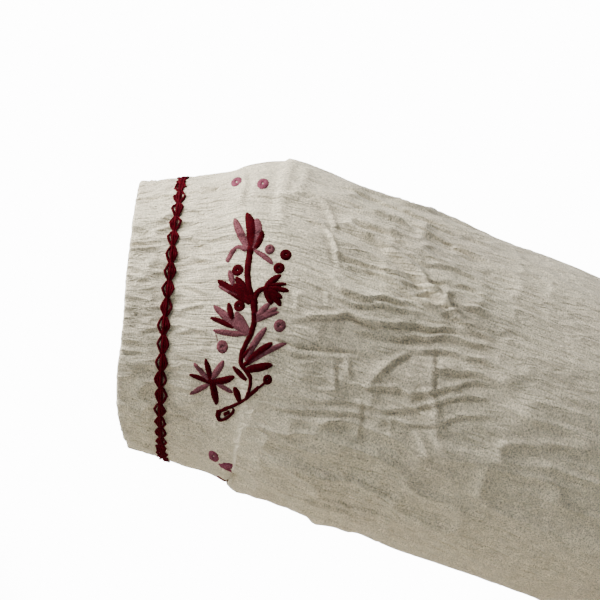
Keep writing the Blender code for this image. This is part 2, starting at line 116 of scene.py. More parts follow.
# A smooth curve through a table's values, with no overshoot
def tableValue(columns, table, at, name):
    places, values = table[:, 0], table[:, columns.index(name)]
    steps = np.diff(values) / np.diff(places)
    sameWay = steps[:-1] * steps[1:] > 0
    mean = 2 * steps[:-1] * steps[1:] / np.where(sameWay, steps[:-1] + steps[1:], 1)
    slopes = np.concatenate([steps[:1], np.where(sameWay, mean, 0), steps[-1:]])
    at = np.clip(at, places[0], places[-1])
    i = np.clip(np.searchsorted(places, at) - 1, 0, len(places) - 2)
    span = places[i + 1] - places[i]
    t = (at - places[i]) / span
    start = (1 + 2 * t) * (1 - t) ** 2 * values[i] + t * (1 - t) ** 2 * span * slopes[i]
    end = t * t * (3 - 2 * t) * values[i + 1] + t * t * (t - 1) * span * slopes[i + 1]
    return start + end


def torsoSize(height, name):
    return tableValue(torsoColumns, torso, height, name)


def sleeveSize(fromEdge, name):
    return tableValue(sleeveColumns, sleeve, fromEdge, name)


def capHeight(rise):
    low, high = form["underarmHeight"], form["neckHeight"]
    return low + (high - low) * (1 - np.cos(rise * math.pi / 2))


def raglanAngle(rise):
    return form["raglanAngle"] * np.sin(rise * math.pi / 2)


def torsoPoint(angle, height, rise, side):
    depth = torsoSize(height, "frontDepth" if side < 0 else "backDepth")
    drop = form["frontNeckDrop"] if side < 0 else form["backNeckDrop"]
    x = torsoSize(height, "halfWidth") * np.cos(angle)
    y = side * depth * np.sin(angle)
    z = height - drop * rise**3 * np.sin(angle) ** 2
    return joined(x, y, z)


def raglanSeam(rise, side):
    return torsoPoint(raglanAngle(rise), capHeight(rise), rise, side)


def armTilt(fromEdge):
    bend = (fromEdge - form["elbowFromEdge"]) / form["elbowBendLength"] + 0.5
    return form["forearmAngle"] + (form["upperArmAngle"] - form["forearmAngle"]) * smoothStep(bend)


def armDirection(fromEdge):
    tilt = armTilt(fromEdge)
    return joined(-np.sin(tilt), 0.0, np.cos(tilt))


def armOutward(fromEdge):
    tilt = armTilt(fromEdge)
    return joined(np.cos(tilt), 0.0, np.sin(tilt))


def underarmCentre():
    top = form["underarmFromEdge"]
    sideSeam = np.array([torsoSize(form["underarmHeight"], "halfWidth"), 0.0, form["underarmHeight"]])
    return sideSeam + sleeveSize(top, "halfAcross") * armOutward(top)


def armCentre(fromEdge):
    top = form["underarmFromEdge"]
    places = np.linspace(0.0, top, 400)
    steps = armDirection((places[1:] + places[:-1]) / 2) * np.diff(places)[:, None]
    summed = np.concatenate([np.zeros((1, 3)), np.cumsum(steps, axis=0)])
    centre = underarmCentre() - summed[-1]
    x, z = (centre[i] + np.interp(fromEdge, places, summed[:, i]) for i in (0, 2))
    forward = form["armForward"] * smoothStep(1 - fromEdge / top)
    return joined(x, -forward, z)


# Angles run round the left sleeve from its underside (0) by the front (90) to the outer side (180)
def armRing(fromEdge, angle):
    across = sleeveSize(fromEdge, "halfAcross") * np.cos(angle)
    depth = sleeveSize(fromEdge, "halfDepth") * np.sin(angle)
    back = np.array([0.0, 1.0, 0.0])
    return armCentre(fromEdge) - armOutward(fromEdge) * across[..., None] - back * depth[..., None]


def shoulderTop(rise):
    top = form["underarmFromEdge"]
    start = underarmCentre() + sleeveSize(top, "halfAcross") * armOutward(top)
    end = np.array([torsoSize(form["neckHeight"], "halfWidth"), 0, form["neckHeight"]])
    handle = start + form["shoulderReach"] * armDirection(top)
    handle[2] = min(handle[2], end[2] - form["shoulderNeckRise"])
    t = np.asarray(rise)[..., None]
    return (1 - t) ** 2 * start + 2 * t * (1 - t) * handle + t * t * end


def capPoint(rise, share):
    rise = np.maximum(rise, 1e-4)
    start = form["arcOpeningStart"]
    opening = form["arcOpening"] * (start * rise - (start - 1) * rise**2)
    angle = opening + share * 2 * (math.pi - opening)
    front, back, top = raglanSeam(rise, -1), raglanSeam(rise, 1), shoulderTop(rise)
    middle = (front + back) / 2
    up = (top - middle) / (1 + np.cos(opening))[..., None]
    forward = (front - back) / (2 * np.sin(opening))[..., None]
    return top - up * (1 + np.cos(angle))[..., None] + forward * np.sin(angle)[..., None]


# Directions up the leaning neckband and out of it
def neckFrame(here):
    away = unit(here * np.array([1.0, 1.0, 0.0]))
    rise = np.array([0.0, 0.0, 1.0])
    lean = form["neckbandLean"]
    up = rise * math.cos(lean) - away * math.sin(lean)
    out = rise * math.sin(lean) + away * math.cos(lean)
    return up, out


# Smooth random values from -1 to 1 on a lattice. With a period, the second way closes on itself.
def valueNoise(u, v, seed, period=0):
    table = np.random.default_rng(seed).uniform(-1, 1, (256, 256))
    u, v = np.broadcast_arrays(u, v)
    i, j = np.floor(u).astype(int), np.floor(v).astype(int)
    a, b = u - i, v - j
    a, b = (t * t * t * (t * (6 * t - 15) + 10) for t in (a, b))
    left, right = (j % period, (j + 1) % period) if period else (j, j + 1)
    low = table[i & 255, left & 255] * (1 - b) + table[i & 255, right & 255] * b
    high = table[(i + 1) & 255, left & 255] * (1 - b) + table[(i + 1) & 255, right & 255] * b
    return low * (1 - a) + high * a


# Thin meandering ridges, where the noise crosses nought
def ridges(u, v, seed, period, width):
    return np.exp(-((valueNoise(u, v, seed, period) / width) ** 2))


# Crests with slack cloth between them, up to 1 high
def crests(u, v, seed, period, sharpness):
    slack = np.sqrt(valueNoise(u, v, seed, period) ** 2 + 0.0015)
    return np.maximum(1 - slack, 0) ** sharpness


# Values from stops, each a start, an end and how many steps lie between them
def spread(stops):
    runs = [np.linspace(start, end, count + 1)[:-1] for start, end, count in stops]
    return np.concatenate(runs + [[stops[-1][1]]])


# Faces and mesh

def quadsOf(index):
    a, b, c, d = index[:-1, :-1], index[:-1, 1:], index[1:, 1:], index[1:, :-1]
    return np.stack([a, b, c, d], axis=-1).reshape(-1, 4)


def faceNormals(points, faces):
    corners = points[faces]
    return np.cross(corners[:, 2] - corners[:, 0], corners[:, 3] - corners[:, 1])


def pointNormals(points, faces):
    towards, normals = faceNormals(points, faces), np.zeros_like(points)
    for k in range(4):
        np.add.at(normals, faces[:, k], towards)
    return unit(normals)


def facesOut(points, faces, inside):
    return np.sum(faceNormals(points, faces) * (points[faces].mean(axis=1) - inside)) > 0


# Numbers of the points of a grid of closed rings, its last ring joined to its first if it is looped
def ringIds(rings, sides, looped):
    ids = np.arange(rings * sides).reshape(rings, sides)
    ids = np.concatenate([ids, ids[:, :1]], axis=1)
    return np.concatenate([ids, ids[:1]]) if looped else ids


def makeMesh(name, points, faces, material, uvs=None):
    mesh = bpy.data.meshes.new(name)
    mesh.from_pydata(points.tolist(), [], [tuple(int(i) for i in face) for face in faces])
    mesh.shade_smooth()
    mesh.materials.append(material)
    if uvs is not None:
        layer = mesh.uv_layers.new(name="cloth")
        corners = np.empty(len(mesh.loops), dtype=np.int32)
        mesh.loops.foreach_get("vertex_index", corners)
        layer.data.foreach_set("uv", uvs[corners].astype(np.float32).ravel())
    piece = bpy.data.objects.new(name, mesh)
    bpy.context.scene.collection.objects.link(piece)
    return piece


def trianglesOf(piece):
    return sum(len(face.vertices) - 2 for face in piece.data.polygons)


# Many closed tubes as one mesh. Each tube is rings of points, joined, and capped unless it closes on itself.
# A millimetre of cloth is laid out round it.
def tubeMesh(name, tubes, material):
    points, faces, uvs, start = [], [], [], 0
    for tube in tubes:
        looped = np.allclose(tube[0], tube[-1], atol=1e-7)
        tube = tube[:-1] if looped else tube
        count, sides = tube.shape[:2]
        ids = ringIds(count, sides, looped)
        quads = quadsOf(ids)
        ends = [] if looped else [ids[0, :-1][::-1], ids[-1, :-1]]
        if not facesOut(tube.reshape(-1, 3), quads, tube.mean(axis=(0, 1))):
            quads, ends = quads[:, ::-1], [end[::-1] for end in ends]
        faces += (quads + start).tolist() + [(end + start).tolist() for end in ends]
        points.append(tube.reshape(-1, 3))
        run = runAlong(tube.mean(axis=1))
        uvs.append(joined(run[:, None], np.linspace(0, mm, sides)[None, :]).reshape(-1, 2))
        start += count * sides
    return makeMesh(name, np.concatenate(points), faces, material, np.concatenate(uvs))


# A band that closes round on itself and over both edges. Each row starts with its metres across the band
# and has one line of points. The first outerRows faces point away from inside.
def bandMesh(name, rows, lines, around, outerRows, inside, material, mirrored=False):
    grid = np.array(lines).transpose(1, 0, 2)
    faces, points = quadsOf(ringIds(*grid.shape[:2], True)), grid.reshape(-1, 3)
    if facesOut(points, faces[:outerRows], inside) == mirrored:
        faces = faces[:, ::-1]
    share = np.arange(len(grid)) / len(grid)
    uvs = joined(share[:, None] * around, np.array([row[0] for row in rows])[None, :])
    points = points * (mirror if mirrored else 1)
    return makeMesh(name, points, faces, material, uvs.reshape(-1, 2))


# Materials

def linearColour(code):
    values = [int(code[i:i + 2], 16) / 255 for i in (1, 3, 5)]
    return [v / 12.92 if v <= 0.04045 else ((v + 0.055) / 1.055) ** 2.4 for v in values] + [1.0]


def addNode(tree, kind, settings=None, values=None, links=None):
    node = tree.nodes.new(kind)
    for name, value in (settings or {}).items():
        setattr(node, name, value)
    for name, value in (values or {}).items():
        node.inputs[name].default_value = value
    for name, source in (links or {}).items():
        tree.links.new(source, node.inputs[name])
    return node


def newMaterial(name, values):
    material = bpy.data.materials.new(name)
    material.use_nodes = True
    shader = material.node_tree.nodes["Principled BSDF"]
    for socket, value in values.items():
        shader.inputs[socket].default_value = value
    return material, material.node_tree, shader


# Cotton gauze, woven loosely from slubby yarn and crinkled: matt, with a speckle of threads and pores
gauzeLook = {
    "thread": "#f3e9cb",
    "pore": "#928b78",
    "warm": "#ecdcc4",
    "yarn": 0.46,        # mm; the real yarn is 0.3 mm, drawn coarser so that it shows
    "slub": 0.95,        # mm, the length of a thick place in the yarn
    "weaveDepth": 0.14,  # mm
    "patch": 3.6,        # mm, where the cloth is looser
    "patchShare": 0.42,
    "cloud": 26.0,       # mm, patches of a warmer white
    "crepeWidth": 1.9,   # mm, the finest crinkles
    "crepeLength": 11.0,
    "crepeDepth": 1.7,
}


def gauzeMaterial(name, look):
    material, tree, shader = newMaterial(name, {
        "Roughness": 0.93, "Sheen Weight": 0.12, "Sheen Roughness": 0.6, "Specular IOR Level": 0.25,
    })
    uv = addNode(tree, "ShaderNodeUVMap", {"uv_map": "cloth"}).outputs["UV"]
    place = addNode(tree, "ShaderNodeTexCoord").outputs["Object"]

    # u runs across the cloth and v along it, both in metres
    def stretched(across, along, detail, distortion=0.0):
        scale = {"Scale": (1 / (across * mm), 1 / (along * mm), 1.0)}
        laid = addNode(tree, "ShaderNodeMapping", {"vector_type": "POINT"}, scale, {"Vector": uv}).outputs[0]
        values = {"Scale": 1.0, "Detail": detail, "Roughness": 0.55, "Distortion": distortion}
        return addNode(tree, "ShaderNodeTexNoise", {}, values, {"Vector": laid}).outputs["Fac"]

    warp = stretched(look["yarn"], look["slub"], 1.0, 0.2)
    weft = stretched(look["slub"], look["yarn"], 1.0, 0.2)
    threads = addNode(tree, "ShaderNodeMath", {"operation": "MAXIMUM"}, {}, {0: warp, 1: weft}).outputs[0]
    speckle = addNode(tree, "ShaderNodeMapRange", {}, {
        "From Min": 0.38, "From Max": 0.66, "To Min": 0.0, "To Max": 1.0}, {"Value": threads}).outputs[0]
    clouds = addNode(tree, "ShaderNodeTexNoise", {}, {
        "Scale": 1 / (look["cloud"] * mm), "Detail": 3.0}, {"Vector": place}).outputs["Fac"]
    tint = addNode(tree, "ShaderNodeMix", {"data_type": "RGBA"}, {
        6: linearColour(look["thread"]), 7: linearColour(look["warm"])}, {0: clouds}).outputs[2]
    woven = addNode(tree, "ShaderNodeMix", {"data_type": "RGBA"}, {
        6: linearColour(look["pore"])}, {0: speckle, 7: tint}).outputs[2]
    # Where the cloth is looser it is a little darker
    loose = addNode(tree, "ShaderNodeTexNoise", {}, {
        "Scale": 1 / (look["patch"] * mm), "Detail": 4.0, "Roughness": 0.6}, {"Vector": place}).outputs["Fac"]
    share = addNode(tree, "ShaderNodeMapRange", {}, {
        "From Min": 0.35, "From Max": 0.65, "To Max": look["patchShare"]}, {"Value": loose}).outputs[0]
    patched = addNode(tree, "ShaderNodeMix", {"data_type": "RGBA"}, {
        7: linearColour(look["pore"])}, {0: share, 6: woven}).outputs[2]
    tree.links.new(patched, shader.inputs["Base Color"])

    # The finest crinkles: sharp crests where the noise crosses its middle
    crepe = stretched(look["crepeWidth"], look["crepeLength"], 1.0, 0.5)
    middle = addNode(tree, "ShaderNodeMath", {"operation": "SUBTRACT"}, {1: 0.5}, {0: crepe}).outputs[0]
    valley = addNode(tree, "ShaderNodeMath", {"operation": "ABSOLUTE"}, {}, {0: middle}).outputs[0]
    folded = addNode(tree, "ShaderNodeBump", {"invert": True}, {
        "Strength": 1.0, "Distance": look["crepeDepth"] * mm}, {"Height": valley}).outputs[0]
    relief = {"Strength": 0.8, "Distance": look["weaveDepth"] * mm}
    weave = addNode(tree, "ShaderNodeBump", {}, relief, {"Height": threads, "Normal": folded}).outputs[0]
    tree.links.new(weave, shader.inputs["Normal"])
    return material


# Stranded cotton, dyed and washed soft: nearly matt, with lighter and darker flecks as its strands turn
def threadMaterial(name, light, dark, strandWidth=0.45):  # mm
    material, tree, shader = newMaterial(name, {"Roughness": 0.8, "Specular IOR Level": 0.02})
    place = addNode(tree, "ShaderNodeTexCoord").outputs["Object"]
    strands = addNode(tree, "ShaderNodeTexNoise", {}, {
        "Scale": 1 / (strandWidth * mm), "Detail": 2.0}, {"Vector": place}).outputs["Fac"]
    held = addNode(tree, "ShaderNodeMapRange", {}, {
        "From Min": 0.35, "From Max": 0.65}, {"Value": strands}).outputs[0]
    colour = addNode(tree, "ShaderNodeMix", {"data_type": "RGBA"}, {
        6: linearColour(dark), 7: linearColour(light)}, {0: held}).outputs[2]
    tree.links.new(colour, shader.inputs["Base Color"])
    bump = addNode(tree, "ShaderNodeBump", {}, {
        "Strength": 0.5, "Distance": 0.1 * mm}, {"Height": strands}).outputs[0]
    tree.links.new(bump, shader.inputs["Normal"])
    return material


gauze = gauzeMaterial("crinkledCottonGauze", gauzeLook)
bandLayers = dict(gauzeLook, crepeWidth=1.6, crepeLength=6.0, crepeDepth=1.5)
bandGauze = gauzeMaterial("doubledCottonGauze", bandLayers)
crimson = threadMaterial("crimsonEmbroideryCotton", "#45020b", "#240006")
chainCrimson = threadMaterial("crimsonChainCotton", "#500410", "#2c0008")
mauve = threadMaterial("mauveEmbroideryCotton", "#7c4b52", "#472a2f")
pink = threadMaterial("pinkEmbroideryCotton", "#84495a", "#5a2c3a")
sewingThread = threadMaterial("naturalSewingCotton", "#ebe6da", "#cfc8b8", 0.6)


# A cloth shell: fine outside, coarser inside, closed along its edges
shellStride = 3  # outer points to each inner one


def rimFaces(outer, inner):
    faces = []
    for k in range(len(inner) - 1):
        faces.append(outer[k * shellStride:(k + 1) * shellStride + 1].tolist() + [inner[k + 1], inner[k]])
    return faces


def clothShell(name, index, outer, inner, closedRows, uvs, material, mirrored=False):
    coarse = index[::shellStride, ::shellStride]
    used, numbers = np.unique(coarse, return_inverse=True)
    below = numbers.reshape(coarse.shape) + len(outer)
    faces = quadsOf(index).tolist() + quadsOf(below)[:, ::-1].tolist()
    first = (closedRows - 1) // shellStride
    faces += rimFaces(index[0][::-1], below[0][::-1])
    faces += rimFaces(index[-1], below[-1])
    faces += rimFaces(index[closedRows - 1:, 0], below[first:, 0])
    faces += rimFaces(index[closedRows - 1:, -1][::-1], below[first:, -1][::-1])
    faces = [face[::-1] for face in faces] if mirrored else faces
    points = np.concatenate([outer, inner[used]])
    if mirrored:
        points = points * mirror
    return makeMesh(name, points, faces, material, np.concatenate([uvs, uvs[used]]))


# Sleeves. Large creases of the solids: places are metres from the casing's edge and degrees round the arm
creaseColumns = ("fromStart", "angleStart", "fromEnd", "angleEnd", "halfWidth", "depth")
largeCreases = (
    (0.054, 154, 0.134, 110, 0.0085, 0.0036),
    (0.072, 106, 0.118, 116, 0.0080, 0.0030),
    (0.068, 89, 0.114, 101, 0.0075, -0.0030),
    (0.086, 76, 0.124, 87, 0.0075, -0.0032),
    (0.090, 145, 0.136, 136, 0.0085, -0.0030),
    (0.078, 60, 0.150, 70, 0.0080, 0.0030),
    (0.062, -34, 0.072, 38, 0.0080, 0.0034),
    (0.092, -40, 0.104, 30, 0.0085, 0.0030),
    (0.120, 10, 0.190, 26, 0.0100, 0.0038),
    (0.084, 206, 0.154, 262, 0.0085, 0.0036),
    (0.092, 236, 0.160, 300, 0.0085, -0.0032),
    (0.110, 312, 0.200, 330, 0.0095, 0.0038),
)
# Finer creases of the right sleeve: half width and height in mm, then points as (mm from the edge, degrees)
fineCreases = (
    (1.3, 0.9, ((51, 175.5), (51, 150), (51, 135), (52, 125))),
    (1.0, -0.6, ((42, 160), (43, 145), (42, 134.5))),
    (1.1, 0.8, ((54, 163.5), (54, 148.5), (53, 140.5))),
    (1.0, 0.7, ((52, 141), (56, 144.5), (59, 143), (63, 135.5), (66, 128.5))),
    (1.0, 0.7, ((51, 133), (56, 134), (61, 132), (66, 125.5), (72, 116.5))),
    (1.8, 1.3, ((66, 135.5), (76, 134), (87, 131), (99, 126.5), (109, 121), (124, 111))),
    (1.0, -0.8, ((68, 144), (81, 146), (94, 146), (108, 144.5), (127, 142))),
    (1.1, 0.8, ((61, 157), (73, 158.5), (88, 156.5), (104, 155), (126, 155))),
    (0.9, 0.6, ((72, 148), (88, 147.5), (104, 145), (124, 145.5))),
    (1.0, 0.8, ((72, 119), (83, 121), (91, 119.5), (98, 118), (117, 114))),
    (0.9, 0.7, ((66, 123), (74, 122), (84, 123), (94, 122))),
    (1.0, 0.8, ((68, 113.5), (75, 109.5), (83, 110), (90, 113.5), (97, 114))),
    (0.9, 0.6, ((70, 107), (80, 106.5), (91, 110.5), (103, 112.5))),
    (1.1, 0.9, ((61, 96), (71, 100), (80, 103), (91, 105), (102, 108), (113, 109.5), (124, 112))),
    (0.9, -0.6, ((80, 101), (87, 102.5), (92, 103.5))),
    (1.0, -0.7, ((55, 87), (65, 88), (76, 89), (82, 91), (89, 94))),
    (0.9, -0.6, ((82, 88), (84, 84), (86, 79.5))),
    (0.9, 0.6, ((85, 90), (88, 84.5))),
    (1.1, 0.9, ((96, 101.5), (104, 104.5), (115, 107), (125, 108), (135, 110))),
    (1.1, 0.8, ((103, 100), (114, 102), (125, 103), (137, 105))),
    (1.1, 0.8, ((96, 86.5), (98, 91), (102, 95.5), (106, 99.5))),
    (1.0, 0.7, ((112, 96.5), (122, 98), (131, 99), (138, 101))),
    (1.0, 0.8, ((89, 82.5), (98, 85.5), (111, 88), (120, 92.5), (130, 96), (139, 99))),
    (1.0, 0.8, ((90, 77), (102, 79.5), (110, 82.5), (117, 87), (123, 89.5), (141, 93.5))),
    (0.9, -0.7, ((114, 101.5), (117, 96), (119, 91))),
    (0.8, -0.5, ((96, 79.5), (98, 74), (100, 67.5))),
    (0.8, 0.5, ((107, 78.5), (109, 74))),
    (1.0, 0.6, ((62, 68), (75, 69), (88, 72.5), (101, 76))),
    (0.9, 0.6, ((110, 78), (122, 81), (132, 85.5), (144, 88))),
    (0.9, 0.5, ((55, 56), (72, 60.5), (87, 65.5))),
    (0.9, 0.6, ((112, 115), (121, 120.5), (132, 120))),
    (1.0, 0.8, ((116, 114.5), (123, 113.5), (134, 112.5))),
    (0.9, 0.7, ((98, 118), (106, 123), (111, 122), (110, 117.5))),
    (0.9, 0.7, ((101, 117), (108, 116.5), (114, 119), (131, 122))),
    (0.9, 0.6, ((93, 125), (102, 125), (110, 127))),
    (0.9, 0.6, ((89, 132), (100, 130.5), (110, 132.5), (128, 132.5))),
    (0.9, 0.6, ((113, 126), (121, 127), (130, 127.5))),
    (1.0, -0.7, ((72, 136), (85, 136.5), (95, 135.5))),
    (1.0, 0.7, ((17, 152.5), (27, 150.5), (36, 148.5))),
    (1.0, 0.7, ((17, 137), (26, 135.5), (33, 131.5))),
    (1.3, 0.8, ((17, 126.5), (24, 124), (32, 118.5))),
    (1.2, 0.8, ((18, 119), (24, 116), (33, 113))),
    (1.0, 0.7, ((19, 104.5), (25, 103.5), (33, 101))),
    (1.1, 0.8, ((19, 90.5), (25, 94.5), (32, 96))),
    (1.0, 0.6, ((20, 84), (27, 86), (34, 85.5))),
    (0.9, 0.6, ((19, 73), (25, 74.5))),
    (1.0, 0.6, ((18, 64), (25, 64.5), (32, 64))),
    (1.1, 0.7, ((18, 55.5), (22, 52), (30, 50), (35, 43.5))),
    (0.9, 0.5, ((48, 126), (52, 126.5))),
    (0.9, -0.5, ((67, 85), (75, 86.5))),
    (0.8, 0.5, ((61, 109), (69, 108), (72, 103))),
    (0.9, 0.5, ((60, 104.5), (62, 98))),
)
sleeveLook = {
    "around": 396.0,        # mm of cloth round the upper sleeve
    "mmPerDegree": 1.065,   # mm round the sleeve where the drawn creases and the sprigs lie
    "creaseRadius": 0.063,
    "slack": 0.3,           # share of the solids' large creases, which the fine ones finish
    "seamCalm": 0.022,
    "elbowPoint": 0.0036,   # metres that the elbow pushes the cloth out
    "elbowPlace": 0.0525,
    "elbowLength": 0.0078,
    "elbowSpread": math.radians(30),
    "drawnWidth": 0.85,     # shares of the widths and heights in the table above
    "drawnHeight": 1.5,
    "rollHeight": 0.7,      # mm
    "long": (2.0, 27.0, 60, 4.0),    # crinkles: height and length in mm, number round, sharpness
    "fine": (0.75, 13.0, 126, 2.5),
    "cross": (0.5, 9.0, 30, 2.0),
    "hiddenCreases": 26,
    "hiddenAlong": (55, 330),        # mm
    "hiddenAround": (190, 395),
    "capEdge": 14.0,        # mm beside the raglan seams where the cloth is held flat
    "neckReach": 85.0,      # mm that the neck's gathers run down
    "neckGathers": 46,
    "neckHeight": 1.4,
    "thickness": 0.0014,
}
sleeveRound = 360 * sleeveLook["mmPerDegree"]
gatherLook = {
    "count": 88,            # gathers round the casing
    "height": 1.3,          # mm
    "sharpness": 2.2,
    "finerCount": 190,      # finer puckers between them
    "finerHeight": 0.42,
    "swell": 0.95,
    "reach": (14.0, 34.0),  # mm that they run on above the chain
    "seed": 5,
}
sleevePlans = {  # stops in mm from the edge, rows above the underarm, stops in degrees round
    "right": {
        "closed": [(17.3, 150.0, 135), (150.0, 232.0, 27)],
        "cap": 24,
        "turns": [(0, 30, 16), (30, 185, 300), (185, 360, 128)],
        "seed": 11,
    },
    "left": {
        "closed": [(17.3, 150.0, 87), (150.0, 232.0, 36)],
        "cap": 27,
        "turns": [(0, 360, 360)],
        "seed": 47,
    },
}


def largeCreasePush(fromEdge, angle):
    radius = sleeveSize(fromEdge, "halfAcross")
    push = np.zeros(np.broadcast(fromEdge, angle).shape)
    for row in largeCreases:
        crease = dict(zip(creaseColumns, row))
        run = crease["fromEnd"] - crease["fromStart"]
        turn = math.radians(crease["angleEnd"] - crease["angleStart"])
        middle = math.radians(crease["angleStart"] + crease["angleEnd"]) / 2
        wrapped = np.mod(angle - middle + math.pi, 2 * math.pi) - math.pi
        sweep = turn * sleeveLook["creaseRadius"]
        length = math.hypot(run, sweep)
        along = fromEdge - crease["fromStart"]
        around = (wrapped + turn / 2) * radius
        ahead = (along * run + around * sweep) / length**2
        aside = (along * sweep - around * run) / length
        ends = smoothStep(ahead / 0.25 + 0.3) * smoothStep((1 - ahead) / 0.30 + 0.3)
        push += crease["depth"] * ends * np.exp(-((aside / crease["halfWidth"]) ** 2))
    return push * smoothStep((fromEdge - form["casingWidth"]) / 0.020)


def elbowPush(fromEdge, angle):
    along = np.exp(-(np.abs(fromEdge - sleeveLook["elbowPlace"]) / sleeveLook["elbowLength"]) ** 1.3)
    around = np.exp(-(((angle - math.pi) / sleeveLook["elbowSpread"]) ** 2))
    return sleeveLook["elbowPoint"] * along * around


# Creases drawn as lines on the cloth, in mm. Each has a shallow trough along one side.
def lineCreases(along, around, creases, period):
    push = np.zeros(along.shape)
    for halfWidth, height, line in creases:
        nearest = np.full(along.shape, 1e9)
        aside, ahead = np.zeros(along.shape), np.zeros(along.shape)
        runs = [math.dist(a, b) for a, b in zip(line, line[1:])]
        done = 0.0
        for (a, b), run in zip(zip(line, line[1:]), runs):
            du, dv = (b[0] - a[0]) / run, (b[1] - a[1]) / run
            u = along - a[0]
            v = np.mod(around - a[1] + period / 2, period) - period / 2
            t = np.clip(u * du + v * dv, 0, run)
            far = np.hypot(u - du * t, v - dv * t)
            closer = far < nearest
            nearest = np.where(closer, far, nearest)
            aside = np.where(closer, np.sign(u * dv - v * du), aside)
            ahead = np.where(closer, (done + t) / sum(runs), ahead)
            done += run
        signed = nearest * aside / halfWidth
        taper = smoothStep(ahead / 0.2 + 0.25) * smoothStep((1 - ahead) / 0.3 + 0.2)
        sharp = np.exp(-np.sqrt(signed**2 + 0.01) / 0.4)
        profile = 0.75 * sharp + 0.45 * np.exp(-signed**2) - 0.5 * np.exp(-((signed - 1.7) ** 2))
        push += height * taper * profile
    return push


# Creases like the drawn ones, in mm, for the hidden sides
def scatteredCreases(seed, count, alongRange, aroundRange):
    draw = np.random.default_rng(seed)
    creases = []
    for _ in range(count):
        u, v = draw.uniform(*alongRange), draw.uniform(*aroundRange)
        run, slope, bend = draw.uniform(20, 62), draw.normal(0, 0.28), draw.normal(0, 3.0)
        height = draw.uniform(0.7, 1.9) * draw.choice([1, 1, -1])
        line = ((u, v), (u + run / 2, v + slope * run / 2 + bend), (u + run, v + slope * run))
        creases.append((draw.uniform(1.6, 3.6), height, line))
    return creases


# Gathers off the chain's elastic: along in mm from the casing's edge, share of the way round
def fineGathers(along, share):
    count, finerCount, seed = gatherLook["count"], gatherLook["finerCount"], gatherLook["seed"]
    bend = 0.9 * valueNoise(along / 9, share * 40, seed + 3, 40) / count
    lines = crests(along / 17, (share + bend) * count, seed, count, gatherLook["sharpness"]) - 0.45
    finer = crests(along / 7, share * finerCount, seed + 4, finerCount, 1.5) - 0.5
    swell = valueNoise(along / 24, share * 22, seed + 1, 22)
    push = gatherLook["height"] * lines + gatherLook["finerHeight"] * finer + gatherLook["swell"] * swell
    return push * mm


def gatherFade(along, share):
    low, high = gatherLook["reach"]
    reach = low + (high - low) * (0.5 + 0.5 * valueNoise(share * 0, share * 46, gatherLook["seed"] + 2, 46))
    return smoothStep(1 - (along - form["casingWidth"] / mm) / reach)


sprigLook = {
    "places": (0.0, 138.0, 258.0),  # mm round the sleeve
    "fromEdge": 46.0,     # mm from the casing's edge to the stem's middle
    "angle": 92.0,
    "stitch": 0.62,       # mm; the real stitches are 0.35 mm apart, drawn coarser so that they show
    "calmHalf": (15, 41),  # mm up and round, where the embroidery stiffens the cloth
    "calm": 0.25,         # share of the crinkles that it takes away there
}


def sprigCalm(along, around):
    calm = np.zeros(np.broadcast(along, around).shape)
    halfUp, halfRound = sprigLook["calmHalf"]
    for shift in sprigLook["places"]:
        middle = sprigLook["angle"] * sleeveLook["mmPerDegree"] + shift + 1
        aside = np.mod(around - middle + sleeveRound / 2, sleeveRound) - sleeveRound / 2
        calm += np.exp(-(((along - sprigLook["fromEdge"] + 1) / halfUp) ** 4) - (aside / halfRound) ** 4)
    return sprigLook["calm"] * calm


def sleeveCrinkle(along, share, seed):
    drift = 4.0 * valueNoise(along / 34, share * 9, seed, 9)
    drift += 1.5 * valueNoise(along / 13, share * 26, seed + 1, 26)
    across = share + drift / sleeveLook["around"]

    def crinkle(name, step):
        height, length, count, sharpness = sleeveLook[name]
        return height * crests(along / length, across * count, seed + step, count, sharpness)

    far = smoothStep((along - 52) / 40)
    patchy = smoothStep(0.5 + 0.9 * valueNoise(along / 46, share * 13, seed + 2, 13))
    crossed = smoothStep(0.2 + valueNoise(along / 30, share * 15, seed + 6, 15))
    push = sleeveLook["rollHeight"] * valueNoise(along / 40, across * 30, seed + 3, 30)
    push += crinkle("long", 4) * patchy * (0.55 + 0.45 * far) + crinkle("fine", 5) * (0.5 + 0.5 * far)
    return push + crinkle("cross", 7) * crossed


